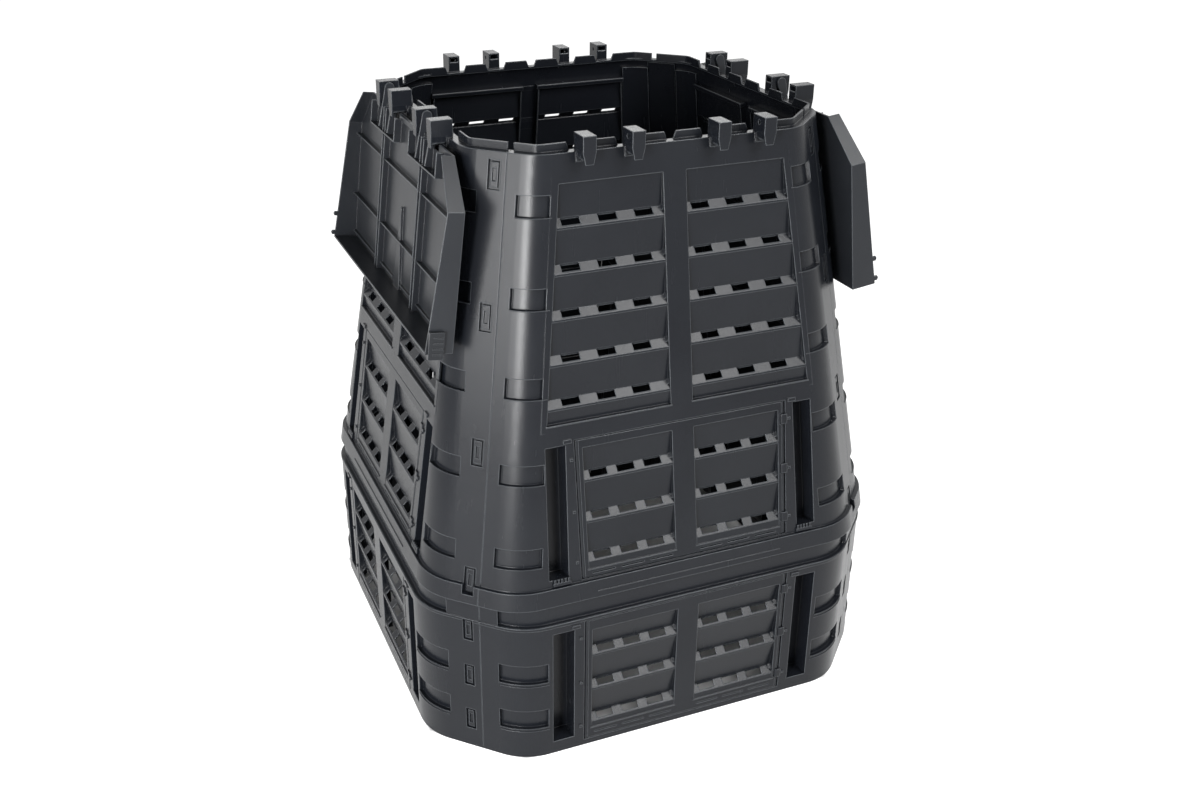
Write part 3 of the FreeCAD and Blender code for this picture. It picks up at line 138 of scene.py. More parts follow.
def add_group(tree: Tree, group: Tree, **values: object) -> Node:
    """Place a shader group in a material and feed its inputs.

    Args:
        tree: the material's tree.
        group: the group.
        values: what its inputs get.

    Returns:
        The group node.
    """
    node = tree.nodes.new("ShaderNodeGroup")
    node.node_tree = group
    for name, value in values.items():
        feed(tree, node.inputs[name], value)
    return node


def math_node(tree: Tree, kind: str, first: object, second: object) -> Socket:
    """Add a Math node whose inputs are sockets or numbers.

    Args:
        tree: the tree.
        kind: the operation.
        first: the first input.
        second: the second input.

    Returns:
        The output socket.
    """
    node = tree.nodes.new("ShaderNodeMath")
    node.operation = kind
    feed(tree, node.inputs[0], first)
    feed(tree, node.inputs[1], second)
    return node.outputs[0]


def absolute(tree: Tree, value: Socket) -> Socket:
    """Add a Math node for the size of a value, whatever its sign."""
    return math_node(tree, "ABSOLUTE", value, 0.0)


def map_range(tree: Tree, value: Socket, low: float, high: float, to_low: float = 0.0,
              to_high: float = 1.0) -> Socket:
    """Stretch a value from one range to another, clamped at its ends.

    Args:
        tree: the tree.
        value: the value.
        low: where the first range begins.
        high: where the first range ends.
        to_low: where the second range begins.
        to_high: where the second range ends.

    Returns:
        The stretched value.
    """
    node = add_node(tree, "ShaderNodeMapRange", Value=value, From_Min=low, From_Max=high,
                    To_Min=to_low, To_Max=to_high)
    return node.outputs["Result"]


def noise(tree: Tree, place: Socket, scale: Socket, detail: float,
          roughness: float = 0.5) -> Socket:
    """Add a noise texture.

    Args:
        tree: the tree.
        place: the coordinates.
        scale: the socket of its scale.
        detail: its octaves.
        roughness: how strong the finer octaves are.

    Returns:
        Its value.
    """
    node = add_node(tree, "ShaderNodeTexNoise", Vector=place, Scale=scale, Detail=detail,
                    Roughness=roughness)
    return node.outputs["Fac"]


def mix_colours(tree: Tree, share: Socket, first: object, second: object) -> Socket:
    """Mix two colours.

    Args:
        tree: the tree.
        share: how much of the second colour shows.
        first: the first colour or its socket.
        second: the second colour or its socket.

    Returns:
        The mixed colour.
    """
    node = tree.nodes.new("ShaderNodeMix")
    node.data_type = "RGBA"
    for name, value in (("Factor", share), ("A", first), ("B", second)):
        feed(tree, node.inputs[name], value)
    return node.outputs["Result"]


@dataclass
class RoundedEdges:
    """Shader group: moulded edge rounding as a normal, and a mask along outer edges where a pale
    highlight is painted.
    """

    radius: float = 0.0015
    sharpness: float = 9.0
    bevel_samples: int = 6
    nook_samples: int = 4
    nook_reach: float = 0.008
    nook_closed: float = 0.80
    nook_open: float = 0.97
    group: Tree = field(init=False)

    def __post_init__(self) -> None:
        """Build the group once."""
        self.group, inside, out = new_group(
            "moulded_edges", "ShaderNodeTree",
            [number("Radius", self.radius), number("Sharpness", self.sharpness)],
            [GroupSocket("Normal", "NodeSocketVector"), number("Edge")])
        tree = self.group
        bevel = add_node(tree, "ShaderNodeBevel", Radius=inside.outputs["Radius"])
        bevel.samples = self.bevel_samples
        face = tree.nodes.new("ShaderNodeNewGeometry")
        dot = tree.nodes.new("ShaderNodeVectorMath")
        dot.operation = "DOT_PRODUCT"
        feed(tree, dot.inputs[0], bevel.outputs["Normal"])
        feed(tree, dot.inputs[1], face.outputs["Normal"])
        # Mask for the painted edge highlight: it is high where the bevel normal turns away from the
        # face, and an occlusion test keeps it off inner corners.
        turned = math_node(tree, "SUBTRACT", 1.0, dot.outputs["Value"])
        edge = math_node(tree, "MULTIPLY", turned, inside.outputs["Sharpness"])
        edge.node.use_clamp = True
        nook = add_node(tree, "ShaderNodeAmbientOcclusion", Distance=self.nook_reach)
        nook.samples = self.nook_samples
        bare = map_range(tree, nook.outputs["AO"], self.nook_closed, self.nook_open)
        feed(tree, out.inputs["Normal"], bevel.outputs["Normal"])
        feed(tree, out.inputs["Edge"], math_node(tree, "MULTIPLY", edge, bare))


@dataclass
class MouldGrain:
    """Shader group: the fine spark-eroded grain and the slow waves of thick moulded walls."""

    grain_scale: float = 900.0
    grain: float = 0.6
    grain_detail: float = 3.0
    grain_roughness: float = 0.65
    wave_scale: float = 9.0
    wave: float = 0.12
    wave_detail: float = 1.5
    group: Tree = field(init=False)

    def __post_init__(self) -> None:
        """Build the group once."""
        self.group, inside, out = new_group(
            "mould_grain", "ShaderNodeTree",
            [number("Grain Scale", self.grain_scale), number("Grain", self.grain),
             number("Wave Scale", self.wave_scale), number("Wave", self.wave)],
            [number("Height")])
        tree = self.group
        place = tree.nodes.new("ShaderNodeTexCoord").outputs["Object"]
        fine = noise(tree, place, inside.outputs["Grain Scale"], self.grain_detail,
                     self.grain_roughness)
        slow = noise(tree, place, inside.outputs["Wave Scale"], self.wave_detail)
        grain = math_node(tree, "MULTIPLY", fine, inside.outputs["Grain"])
        wave = math_node(tree, "MULTIPLY", slow, inside.outputs["Wave"])
        feed(tree, out.inputs["Height"], math_node(tree, "ADD", grain, wave))


@dataclass
class GardenDust:
    """Shader group: pale dust in still places and the smears that hands and rain leave."""

    cloud_scale: float = 7.0
    cloud_detail: float = 5.0
    streak_scale: float = 60.0
    streak_detail: float = 4.0
    streak_stretch: Triple = (1.0, 1.0, 0.08)
    fleck_scale: float = 130.0
    fleck_rim: float = 0.10
    fleck_heart: float = 0.02
    group: Tree = field(init=False)

    def __post_init__(self) -> None:
        """Build the group once."""
        self.group, inside, out = new_group(
            "garden_dust", "ShaderNodeTree",
            [number("Cloud Scale", self.cloud_scale), number("Streak Scale", self.streak_scale)],
            [number("Cloud"), number("Streak"), number("Fleck")])
        tree = self.group
        place = tree.nodes.new("ShaderNodeTexCoord").outputs["Object"]
        long = add_node(tree, "ShaderNodeMapping", Vector=place, Scale=self.streak_stretch)
        cloud = noise(tree, place, inside.outputs["Cloud Scale"], self.cloud_detail)
        streak = noise(tree, long.outputs["Vector"], inside.outputs["Streak Scale"],
                       self.streak_detail)
        cell = add_node(tree, "ShaderNodeTexVoronoi", Vector=place, Scale=self.fleck_scale)
        fleck = map_range(tree, cell.outputs["Distance"], self.fleck_rim, self.fleck_heart)
        for name, value in (("Cloud", cloud), ("Streak", streak), ("Fleck", fleck)):
            feed(tree, out.inputs[name], value)


@dataclass(frozen=True)
class MouldedPlastic:
    """Black garden plastic: its colours, polish and the strength of its surface detail."""

    name: str
    deep: Triple
    worn: Triple
    gloss: Gloss
    edge_radius: float = 0.0024
    # Painted highlight: the share and the pale colour that outer edges are mixed toward, standing
    # in for edge glints.
    edge_highlight_share: float = 0.6
    edge_highlight_colour: Triple = (0.115, 0.125, 0.135)
    grain: float = 0.6
    grain_strength: float = 0.22
    grain_height: float = 0.0009
    cloud_share: float = 0.25
    fleck_share: float = 0.10
    streak_range: tuple[float, float] = (0.3, 0.7)
    gloss_range: tuple[float, float] = (-0.01, 0.015)
    ior: float = 1.49
    specular: float = 0.25

    def build(self, edges: RoundedEdges, grain: MouldGrain, dust: GardenDust) -> bpy.types.Material:
        """Make the material.

        Args:
            edges: the rounded edge group.
            grain: the grain group.
            dust: the dust group.

        Returns:
            The finished material.
        """
        material = bpy.data.materials.new(self.name)
        material.use_nodes = True
        tree = material.node_tree
        shader = tree.nodes["Principled BSDF"]
        shader.inputs["IOR"].default_value = self.ior
        shader.inputs["Specular IOR Level"].default_value = self.specular
        rim = add_group(tree, edges.group, Radius=self.edge_radius)
        skin = add_group(tree, grain.group, Grain=self.grain)
        film = add_group(tree, dust.group)
        cloud = math_node(tree, "MULTIPLY", film.outputs["Cloud"], self.cloud_share)
        fleck = math_node(tree, "MULTIPLY", film.outputs["Fleck"], self.fleck_share)
        dusty = mix_colours(tree, math_node(tree, "ADD", cloud, fleck), (*self.deep, 1.0),
                            (*self.worn, 1.0))
        edge = math_node(tree, "MULTIPLY", rim.outputs["Edge"], self.edge_highlight_share)
        # Base colour: dust, then a pale painted highlight along outer edges.
        feed(tree, shader.inputs["Base Color"],
             mix_colours(tree, edge, dusty, (*self.edge_highlight_colour, 1.0)))
        rough = [self.gloss.value + change for change in self.gloss_range]
        feed(tree, shader.inputs["Roughness"],
             map_range(tree, film.outputs["Streak"], *self.streak_range, *rough))
        bump = add_node(tree, "ShaderNodeBump", Strength=self.grain_strength,
                        Distance=self.grain_height, Height=skin.outputs["Height"],
                        Normal=rim.outputs["Normal"])
        feed(tree, shader.inputs["Normal"], bump.outputs["Normal"])
        return material


@dataclass
class Finishes:
    """Every material of the bin, built from the shared groups."""

    wall: MouldedPlastic = MouldedPlastic(
        "charcoal_wall", (0.0036, 0.0042, 0.0062), (0.026, 0.030, 0.035), Gloss.SATIN)
    door: MouldedPlastic = MouldedPlastic(
        "charcoal_door", (0.0032, 0.0038, 0.0057), (0.024, 0.028, 0.033), Gloss.SATIN)
    leaf: MouldedPlastic = MouldedPlastic(
        "charcoal_lid", (0.0095, 0.0105, 0.0130), (0.042, 0.046, 0.050), Gloss.SOFT)
    grip: MouldedPlastic = MouldedPlastic(
        "charcoal_latch", (0.0075, 0.0082, 0.0100), (0.032, 0.036, 0.040), Gloss.HANDLED,
        edge_radius=0.0008)
    made: dict[str, bpy.types.Material] = field(default_factory=dict)

    def build(self) -> None:
        """Make the groups and the materials."""
        groups = (RoundedEdges(), MouldGrain(), GardenDust())
        for plastic in (self.wall, self.door, self.leaf, self.grip):
            self.made[plastic.name] = plastic.build(*groups)

    def of(self, plastic: MouldedPlastic) -> bpy.types.Material:
        """The material that was made for a plastic."""
        return self.made[plastic.name]


def dress(node: str, material: bpy.types.Material) -> None:
    """Give a CAD node its material in every slot.

    Args:
        node: the node's name.
        material: the material it gets.
    """
    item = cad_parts[node]
    if not item.material_slots:
        item.data.materials.append(material)
    for slot in item.material_slots:
        slot.material = material
    log.info("%s wears %s", node, material.name)


@dataclass(frozen=True)
class WallShape:
    """Plan of a tier at its foot and top: half width, corner vertex and bend radius in metres."""

    foot_z: float
    top_z: float
    foot: Triple
    top: Triple
    bend: float = math.radians(45.0)
    path_lead: float = 0.001
    path_steps: int = 12

    def at(self, z: float) -> Triple:
        """Half width, vertex and bend radius at a height."""
        share = (z - self.foot_z) / (self.top_z - self.foot_z)
        return tuple(a + (b - a) * share for a, b in zip(self.foot, self.top))

    def lean(self) -> float:
        """Angle of the wall from the upright, in radians."""
        return math.atan((self.foot[0] - self.top[0]) / (self.top_z - self.foot_z))

    def place(self, x: float, z: float, out: float) -> Matrix:
        """Matrix whose x runs along the front wall, y into it and z up it."""
        point = Vector((x, -self.at(z)[0] - out, z))
        return Matrix.Translation(point) @ Matrix.Rotation(-self.lean(), 4, "X")

    def bend_path(self, z: float, right: bool, past: float) -> list[Vector]:
        """Points round a corner bend, from the front to a place past it on the corner face.

        Args:
            z: the height.
            right: the right bend of the front wall, or else the left one.
            past: how far the path runs on along the corner face.

        Returns:
            The points, in metres.
        """
        half, vertex, radius = self.at(z)
        start = vertex - radius * math.tan(self.bend / 2)
        points = [Vector((start - self.path_lead, -half, z))]
        for index in range(self.path_steps + 1):
            angle = self.bend * index / self.path_steps
            points.append(Vector((start + radius * math.sin(angle),
                                  -half + radius * (1 - math.cos(angle)), z)))
        points.append(points[-1] + Vector((past, past, 0)) / math.sqrt(2))
        if not right:
            points = [Vector((-p.x, p.y, p.z)) for p in points]
        return points


BASE_WALL = WallShape(0.0, 0.321, (0.4665, 0.3235, 0.112), (0.4665, 0.3235, 0.112))
TIER_WALL = WallShape(0.321, 1.094, (0.456, 0.332, 0.110), (0.3365, 0.242, 0.067))


@dataclass(frozen=True)
class Block:
    """A small moulded block: its size along x, y and z, its edge radius and its middle."""

    size: Triple
    radius: float
    centre: Triple = (0.0, 0.0, 0.0)

    def build(self, name: str) -> Piece:
        """Make the block.

        Args:
            name: the object's name.

        Returns:
            The object.
        """
        shape = bmesh.new()
        bmesh.ops.create_cube(shape, size=1.0)
        bmesh.ops.scale(shape, vec=self.size, verts=shape.verts)
        bmesh.ops.bevel(shape, geom=shape.edges[:], offset=self.radius, segments=2,
                        affect="EDGES", profile=0.5)
        bmesh.ops.translate(shape, vec=self.centre, verts=shape.verts)
        return fill(new_piece(name), shape)


def new_piece(name: str, points: list[Vector] | None = None,
              edges: list[tuple[int, int]] | None = None) -> Piece:
    """Make an object, empty or from points and edges.

    Args:
        name: its name.
        points: its points.
        edges: its loose edges.

    Returns:
        The object, linked to the scene.
    """
    mesh = bpy.data.meshes.new(name)
    mesh.from_pydata([tuple(p) for p in points or []], edges or [], [])
    piece = bpy.data.objects.new(name, mesh)
    bpy.context.scene.collection.objects.link(piece)
    return piece


def fill(piece: Piece, shape: bmesh.types.BMesh) -> Piece:
    """Move an edited shape into a piece and free it."""
    shape.to_mesh(piece.data)
    shape.free()
    return piece


def bake(piece: Piece) -> Piece:
    """Turn a piece with modifiers into a plain mesh.

    Args:
        piece: the piece; it is removed.

    Returns:
        A new object with the evaluated mesh and the same name.
    """
    name = piece.name
    graph = bpy.context.evaluated_depsgraph_get()
    mesh = bpy.data.meshes.new_from_object(piece.evaluated_get(graph))
    bpy.data.objects.remove(piece)
    plain = bpy.data.objects.new(name, mesh)
    bpy.context.scene.collection.objects.link(plain)
    return plain


def merge(name: str, parts: list[tuple[Piece, Matrix]]) -> Piece:
    """Copy several meshes into one object, each at its own place.

    Args:
        name: the new object's name.
        parts: the objects and their places; the objects are removed.

    Returns:
        The merged object.
    """
    shape = bmesh.new()
    for part, place in parts:
        mesh = part.data.copy()
        mesh.transform(place)
        shape.from_mesh(mesh)
        bpy.data.meshes.remove(mesh)
    for part in {item for item, _ in parts}:
        bpy.data.objects.remove(part)
    return fill(new_piece(name), shape)


class GeometryRecipe:
    """Base of the Geometry Nodes groups: named inputs set by socket identifier."""

    label = "recipe"
    inputs: tuple[GroupSocket, ...] = ()

    def __init__(self) -> None:
        """Make the group and its sockets."""
        shape = GroupSocket("Geometry", "NodeSocketGeometry")
        paint = GroupSocket("Finish", "NodeSocketMaterial")
        self.group, self.inside, self.out = new_group(
            self.label, "GeometryNodeTree", [shape, *self.inputs, paint], [shape])
        self.finish(self.wire(self.group, self.inside.outputs))

    def wire(self, tree: Tree, given: bpy.types.NodeOutputs) -> Socket:
        """Add the nodes; each recipe has its own.

        Args:
            tree: the group.
            given: the sockets of the group's inputs.

        Returns:
            The socket of the shape.
        """
        raise NotImplementedError

    def finish(self, shape: Socket) -> None:
        """End the group with Realize Instances and Set Material.

        Args:
            shape: the socket of the shape.
        """
        real = add_node(self.group, "GeometryNodeRealizeInstances", Geometry=shape)
        paint = add_node(self.group, "GeometryNodeSetMaterial",
                         Geometry=real.outputs["Geometry"],
                         Material=self.inside.outputs["Finish"])
        feed(self.group, self.out.inputs["Geometry"], paint.outputs["Geometry"])

    def apply(self, piece: Piece, finish: bpy.types.Material, **values: float) -> Piece:
        """Run the recipe on a piece.

        Args:
            piece: the piece that gives the input geometry; it is replaced.
            finish: the material of the result.
            values: the named inputs, with underscores for spaces.

        Returns:
            The plain result.
        """
        modifier = piece.modifiers.new(self.label, "NODES")
        modifier.node_group = self.group
        wanted = {name.replace("_", " ").lower(): value for name, value in values.items()}
        for item in self.group.interface.items_tree:
            if item.item_type != "SOCKET" or item.in_out != "INPUT":
                continue
            if item.name == "Finish":
                modifier[item.identifier] = finish
            elif item.name.lower() in wanted:
                modifier[item.identifier] = wanted[item.name.lower()]
        piece.update_tag()
        return bake(piece)


class MouldedBead(GeometryRecipe):
    """Sweeps a round bead along the edges of a path mesh."""

    label = "moulded_bead"
    inputs = (number("Bead Radius", 0.0012), whole_number("Facets", 10))

    def wire(self, tree: Tree, given: bpy.types.NodeOutputs) -> Socket:
        """Path to curve to tube."""
        path = add_node(tree, "GeometryNodeMeshToCurve", Mesh=given["Geometry"])
        ring = add_node(tree, "GeometryNodeCurvePrimitiveCircle", Radius=given["Bead Radius"],
                        Resolution=given["Facets"])
        tube = add_node(tree, "GeometryNodeCurveToMesh", Curve=path.outputs["Curve"],
                        Profile_Curve=ring.outputs["Curve"], Fill_Caps=True)
        return tube.outputs["Mesh"]


class ToothRow(GeometryRecipe):
    """Repeats a moulded tooth in a straight row."""

    label = "tooth_row"
    inputs = (whole_number("Count", 5), number("Step", 0.007))

    def wire(self, tree: Tree, given: bpy.types.NodeOutputs) -> Socket:
        """A line of points with the tooth on each."""
        step = add_node(tree, "ShaderNodeCombineXYZ", X=given["Step"])
        row = add_node(tree, "GeometryNodeMeshLine", Count=given["Count"],
                       Offset=step.outputs["Vector"])
        put = add_node(tree, "GeometryNodeInstanceOnPoints", Points=row.outputs["Mesh"],
                       Instance=given["Geometry"])
        return put.outputs["Instances"]


class RoundTheBin(GeometryRecipe):
    """Repeats a piece of the front on every side of the bin."""

    label = "round_the_bin"
    inputs = (whole_number("Sides", len(Side)),)

    def wire(self, tree: Tree, given: bpy.types.NodeOutputs) -> Socket:
        """One copy for each side, each a quarter turn further."""
        marks = add_node(tree, "GeometryNodePoints", Count=given["Sides"])
        side = tree.nodes.new("GeometryNodeInputIndex")
        angle = math_node(tree, "MULTIPLY", side.outputs["Index"], math.pi / 2)
        turn = add_node(tree, "ShaderNodeCombineXYZ", Z=angle)
        euler = add_node(tree, "FunctionNodeEulerToRotation", Euler=turn.outputs["Vector"])
        put = add_node(tree, "GeometryNodeInstanceOnPoints", Points=marks.outputs[0],
                       Instance=given["Geometry"], Rotation=euler.outputs["Rotation"])
        return put.outputs["Instances"]


@dataclass
class Shell:
    """The eight wall panels of the two tiers."""

    finishes: Finishes

    def build(self) -> None:
        """Dress the panels."""
        material = self.finishes.of(self.finishes.wall)
        for side in Side:
            for tier in ("base_panel", "upper_panel"):
                dress(f"{tier}_{side.name.lower()}", material)


@dataclass
class WallTrim:
    """The fine moulded lines, clips and rails of the walls, on all four sides, in metres."""

    finishes: Finishes
    base_dents: tuple[float, ...] = (0.084, 0.184)
    base_dent_half: float = 0.020
    tier_dents: tuple[float, ...] = (0.4125, 0.5622, 0.7119, 0.8616, 1.0113)
    tier_dent_half: float = 0.018
    lip_past: float = 0.004
    lower_lip_drop: float = 0.0255
    lower_lip_past: float = 0.002
    lip_radius: float = 0.0012
    skirt_level: float = 0.333
    skirt_out: float = 0.0068
    skirt_run_mm: tuple[int, int, int] = (-180, 190, 10)
    skirt_radius: float = 0.0016
    tooth: Block = Block((0.0042, 0.0042, 0.0075), 0.0008, (-0.0130, -0.0016, 0.0060))
    tooth_count: int = 5
    tooth_step: float = 0.0065
    plate: Block = Block((0.034, 0.0052, 0.0065), 0.0010, (0.0, -0.0016, 0.0))
    clip_places: tuple[float, ...] = (-0.245, 0.245)
    clip_level: float = 0.3585
    rail: Block = Block((0.200, 0.0150, 0.0100), 0.0022)
    rail_places: tuple[float, ...] = (-0.115, 0.115)
    rail_level: float = 1.0490
    rail_depth: float = 0.0110
    bead_recipe: MouldedBead = field(default_factory=MouldedBead)
    row_recipe: ToothRow = field(default_factory=ToothRow)
    round_recipe: RoundTheBin = field(default_factory=RoundTheBin)

    def build(self) -> None:
        """Make every piece of trim."""
        self.make_beads("dent_lips", self.dent_paths(), self.lip_radius)
        self.make_beads("skirt_line", [self.skirt_path()], self.skirt_radius)
        self.make_clips()
        self.make_rails()

    def plastic(self) -> bpy.types.Material:
        """The material of the trim."""
        return self.finishes.of(self.finishes.wall)

    def dent_paths(self) -> list[list[Vector]]:
        """Trace the lips below the dents, and the lower lips of the base.

        Returns:
            The paths, left and right bend in turn.
        """
        rows = [(BASE_WALL, middle - self.base_dent_half, self.lip_past)
                for middle in self.base_dents]
        rows += [(TIER_WALL, middle - self.tier_dent_half, self.lip_past)
                 for middle in self.tier_dents]
        rows += [(BASE_WALL, middle - self.lower_lip_drop, self.lower_lip_past)
                 for middle in self.base_dents]
        return [wall.bend_path(z, right, past) for wall, z, past in rows
                for right in (False, True)]

    def skirt_path(self) -> list[Vector]:
        """Path of the thin line on the skirt."""
        place = TIER_WALL.place(0.0, self.skirt_level, self.skirt_out)
        start, end, step = self.skirt_run_mm
        return [place @ Vector((x / 1000.0, 0, 0)) for x in range(start, end + 1, step)]

    def put_round(self, piece: Piece, smooth: bool = False) -> None:
        """Repeat a piece of the front on every side, as one piece of the fixed body.

        Args:
            piece: the piece; it is replaced.
            smooth: whether it is shaded smooth.
        """
        ring = self.round_recipe.apply(piece, self.plastic())
        if smooth:
            ring.data.shade_smooth()
        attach(ring, "bin")
        log.info("%s rides on the bin", ring.name)

    def make_beads(self, name: str, paths: list[list[Vector]], radius: float) -> None:
        """Sweep beads along paths and repeat them round the bin.

        Args:
            name: the piece's name.
            paths: the paths on the front.
            radius: the radius of the bead.
        """
        points: list[Vector] = []
        edges: list[tuple[int, int]] = []
        for path in paths:
            first = len(points)
            points.extend(path)
            edges.extend((first + i, first + i + 1) for i in range(len(path) - 1))
        bead = self.bead_recipe.apply(new_piece(name, points, edges), self.plastic(),
                                      bead_radius=radius)
        self.put_round(bead, smooth=True)

    def make_clips(self) -> None:
        """Make the toothed clips under the upper finger recesses."""
        row = self.row_recipe.apply(self.tooth.build("clip_tooth"), self.plastic(),
                                    count=self.tooth_count, step=self.tooth_step)
        still = Matrix.Identity(4)
        unit = merge("clip_unit", [(self.plate.build("clip_plate"), still), (row, still)])
        places = [TIER_WALL.place(x, self.clip_level, 0.0) for x in self.clip_places]
        self.put_round(merge("skirt_clips", [(unit, place) for place in places]))

    def make_rails(self) -> None:
        """Make the stiffening rails inside, over the upper windows."""
        rail = self.rail.build("rail")
        places = [TIER_WALL.place(x, self.rail_level, -self.rail_depth)
                  for x in self.rail_places]
        self.put_round(merge("inner_rails", [(rail, place) for place in places]))


@dataclass
class Doors:
    """The eight louvred doors."""

    finishes: Finishes

    def build(self) -> None:
        """Dress the doors."""
        material = self.finishes.of(self.finishes.door)
        for side in Side:
            for tier in ("base_door", "upper_door"):
                dress(f"{tier}_{side.name.lower()}", material)


@dataclass
class Lid:
    """The two lid leaves and their sliding latches."""

    finishes: Finishes

    def build(self) -> None:
        """Dress the leaves and the latches."""
        for side in (Side.LEFT, Side.RIGHT):
            hand = side.name.lower()
            dress(f"lid_{hand}", self.finishes.of(self.finishes.leaf))
            dress(f"lid_latch_{hand}", self.finishes.of(self.finishes.grip))


@dataclass(frozen=True)
class Lamp:
    """One soft rectangular lamp: its place and aim in metres, its size and its power in watts."""

    name: str
    place: Triple
    aim: Triple
    size: tuple[float, float]
    watts: float

    def build(self) -> None:
        """Hang the lamp."""
        data = bpy.data.lights.new(self.name, "AREA")
        data.shape = "RECTANGLE"
        data.size, data.size_y = self.size
        data.energy = self.watts
        lamp = bpy.data.objects.new(self.name, data)
        lamp.location = self.place
        way = Vector(self.aim) - Vector(self.place)
        lamp.rotation_euler = way.to_track_quat("-Z", "Y").to_euler()
        bpy.context.scene.collection.objects.link(lamp)


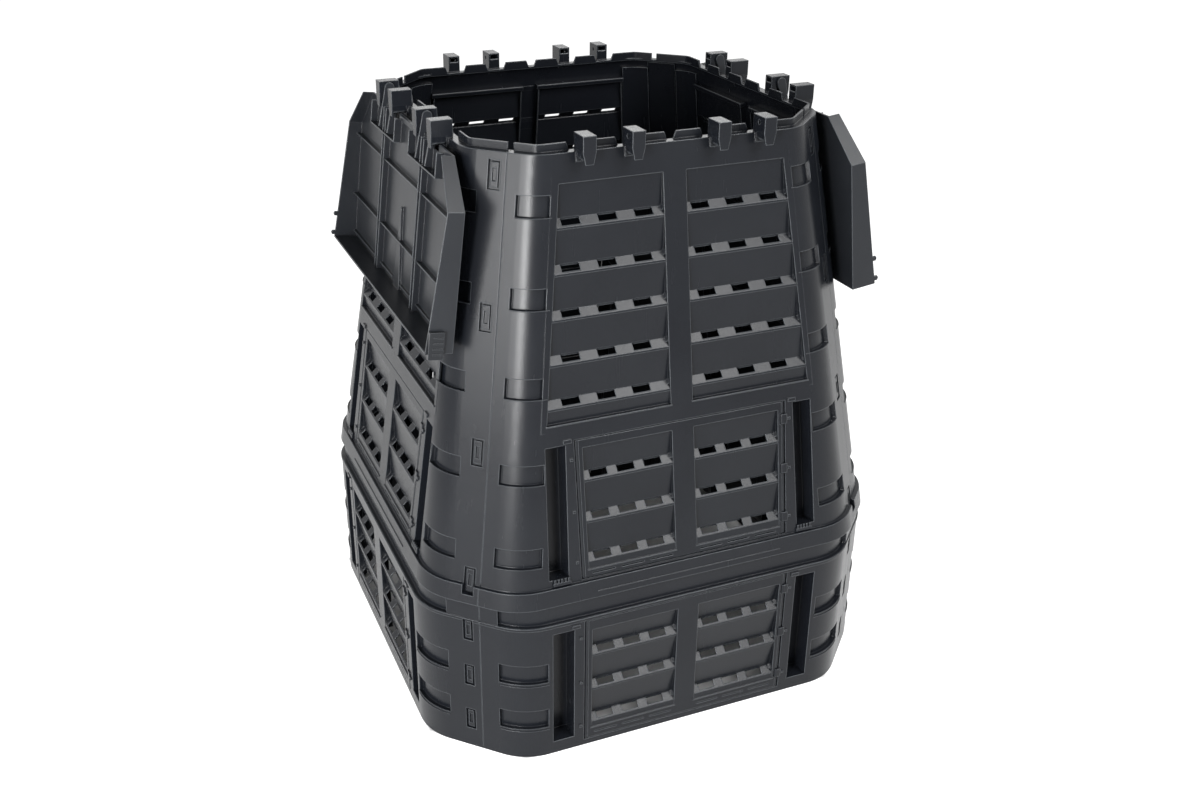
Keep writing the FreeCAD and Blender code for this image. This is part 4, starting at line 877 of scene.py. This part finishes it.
@dataclass
class Studio:
    """The floor, the background and the lamps."""

    floor_half: float = 14.0
    floor_drop: float = 0.0005
    floor_colour: Triple = (0.55, 0.55, 0.55)
    floor_roughness: float = 0.9
    floor_glow: float = 0.80
    mirrored_glow: float = 0.7
    shade_half: float = 0.4600
    shade_edge: float = 0.4665
    corner_share: float = 0.5905
    world_light: float = 0.45
    backdrop_light: float = 1.0
    lamps: tuple[Lamp, ...] = (
        Lamp("key_top", (1.45, -2.15, 3.9), (0.0, 0.0, 0.5), (1.7, 1.6), 105.0),
        Lamp("key_front", (1.50, -3.30, 3.0), (0.0, 0.0, 0.4), (1.4, 0.9), 55.0),
        Lamp("strip_bend", (-2.15, -2.45, 1.12), (0.0, 0.0, 1.0), (0.27, 1.4), 88.0),
        Lamp("box_left", (-2.81, -1.90, 1.15), (0.0, 0.0, 0.9), (1.7, 1.4), 92.0),
        Lamp("rim_back", (1.15, 2.90, 2.6), (0.0, 0.0, 1.0), (1.8, 0.9), 20.0),
    )

    def build(self) -> None:
        """Make the floor, the world and the lamps."""
        self.make_floor()
        self.make_world()
        for lamp in self.lamps:
            lamp.build()

    def make_floor(self) -> None:
        """Lay the pale floor, which shows white to the camera but keeps the shadow."""
        half = self.floor_half
        mesh = bpy.data.meshes.new("floor")
        corners = [(-half, -half, 0), (half, -half, 0), (half, half, 0), (-half, half, 0)]
        mesh.from_pydata(corners, [], [(0, 1, 2, 3)])
        floor = bpy.data.objects.new("floor", mesh)
        bpy.context.scene.collection.objects.link(floor)
        floor.location.z = -self.floor_drop
        mesh.materials.append(self.floor_material())

    def floor_material(self) -> bpy.types.Material:
        """Make the floor's material: pale, with a glow that only the camera and mirrors see.

        Returns:
            The material.
        """
        material = bpy.data.materials.new("pale_floor")
        material.use_nodes = True
        tree = material.node_tree
        shader = tree.nodes["Principled BSDF"]
        shader.inputs["Base Color"].default_value = (*self.floor_colour, 1.0)
        shader.inputs["Roughness"].default_value = self.floor_roughness
        shader.inputs["Specular IOR Level"].default_value = 0.0
        glow = add_node(tree, "ShaderNodeEmission", Color=WHITE, Strength=self.floor_glow)
        both = tree.nodes.new("ShaderNodeAddShader")
        feed(tree, both.inputs[0], shader.outputs[0])
        feed(tree, both.inputs[1], glow.outputs[0])
        path = tree.nodes.new("ShaderNodeLightPath")
        mirrored = math_node(tree, "MAXIMUM", path.outputs["Is Glossy Ray"],
                             path.outputs["Is Transmission Ray"])
        mirrored = math_node(tree, "MULTIPLY", mirrored, self.mirrored_glow)
        seen = math_node(tree, "MAXIMUM", path.outputs["Is Camera Ray"], mirrored)
        seen = math_node(tree, "MULTIPLY", seen, self.outside_mask(tree))
        self.pick_shader(tree, seen, shader, both, tree.nodes["Material Output"])
        return material

    def pick_shader(self, tree: Tree, share: Socket, first: Node, second: Node,
                    out: Node) -> None:
        """Mix two shaders into an output node.

        Args:
            tree: the tree.
            share: how much of the second shader shows.
            first: the first shader.
            second: the second shader.
            out: the output node.
        """
        pick = add_node(tree, "ShaderNodeMixShader", Fac=share)
        feed(tree, pick.inputs[1], first.outputs[0])
        feed(tree, pick.inputs[2], second.outputs[0])
        feed(tree, out.inputs["Surface"], pick.outputs[0])

    def outside_mask(self, tree: Tree) -> Socket:
        """Where the floor lies outside the foot of the bin.

        Args:
            tree: the floor material's tree.

        Returns:
            A mask that is 0 under the bin and 1 outside it.
        """
        place = tree.nodes.new("ShaderNodeTexCoord")
        split = add_node(tree, "ShaderNodeSeparateXYZ", Vector=place.outputs["Object"])
        across = absolute(tree, split.outputs["X"])
        along = absolute(tree, split.outputs["Y"])
        corner = math_node(tree, "MULTIPLY", math_node(tree, "ADD", across, along),
                           self.corner_share)
        far = math_node(tree, "MAXIMUM", math_node(tree, "MAXIMUM", across, along), corner)
        return map_range(tree, far, self.shade_half, self.shade_edge)

    def make_world(self) -> None:
        """Light the world plainly and show it white behind the object."""
        world = bpy.data.worlds.new("studio")
        bpy.context.scene.world = world
        world.use_nodes = True
        tree = world.node_tree
        plain = tree.nodes["Background"]
        plain.inputs["Color"].default_value = WHITE
        plain.inputs["Strength"].default_value = self.world_light
        bright = add_node(tree, "ShaderNodeBackground", Color=WHITE,
                          Strength=self.backdrop_light)
        path = tree.nodes.new("ShaderNodeLightPath")
        seen = math_node(tree, "MAXIMUM", path.outputs["Is Camera Ray"],
                         path.outputs["Is Glossy Ray"])
        seen = math_node(tree, "MAXIMUM", seen, path.outputs["Is Transmission Ray"])
        self.pick_shader(tree, seen, plain, bright, tree.nodes["World Output"])


@dataclass
class PhotoCamera:
    """The camera at the photograph's angle: degrees, metres and pixels of the photograph."""

    azimuth: float = -21.7107
    elevation: float = 25.1170
    roll: float = -0.1739
    distance: float = 2.61548
    target: Triple = (-0.083317, 0.001112, 0.523726)
    focal_pixels: float = 1285.28
    centre_x: float = -48.289
    centre_y: float = -18.161
    width: float = 1200.0
    sensor_mm: float = 36.0
    clip_end: float = 60.0

    def axes(self) -> tuple[Vector, Vector, Vector]:
        """Work out how the camera is turned.

        Returns:
            Its right, up and back directions.
        """
        az, el, turn = (math.radians(a) for a in (self.azimuth, self.elevation, self.roll))
        back = Vector((math.sin(az) * math.cos(el), -math.cos(az) * math.cos(el), math.sin(el)))
        right = (-back).cross(Vector((0, 0, 1))).normalized()
        up = right.cross(-back)
        return (right * math.cos(turn) + up * math.sin(turn),
                up * math.cos(turn) - right * math.sin(turn), back)

    def build(self) -> None:
        """Make the camera and give it to the scene."""
        data = bpy.data.cameras.new("photo_camera")
        data.sensor_width = self.sensor_mm
        data.lens = self.focal_pixels / self.width * self.sensor_mm
        data.shift_x = -self.centre_x / self.width
        data.shift_y = self.centre_y / self.width
        data.clip_end = self.clip_end
        camera = bpy.data.objects.new("photo_camera", data)
        axes = self.axes()
        place = Vector(self.target) + axes[-1] * self.distance
        turned = Matrix(axes).transposed().to_4x4()
        camera.matrix_world = Matrix.Translation(place) @ turned
        bpy.context.scene.collection.objects.link(camera)
        bpy.context.scene.camera = camera


def main() -> None:
    """Build the camera, the studio and every sub-assembly in order."""
    logging.basicConfig(level=logging.INFO, format="%(name)s %(message)s")
    bpy.context.scene.view_settings.view_transform = "Standard"
    PhotoCamera().build()
    Studio().build()
    finishes = Finishes()
    finishes.build()
    for assembly in (Shell(finishes), WallTrim(finishes), Doors(finishes), Lid(finishes)):
        assembly.build()
        log.info("%s is dressed", type(assembly).__name__)


if __name__ == "__main__":
    main()
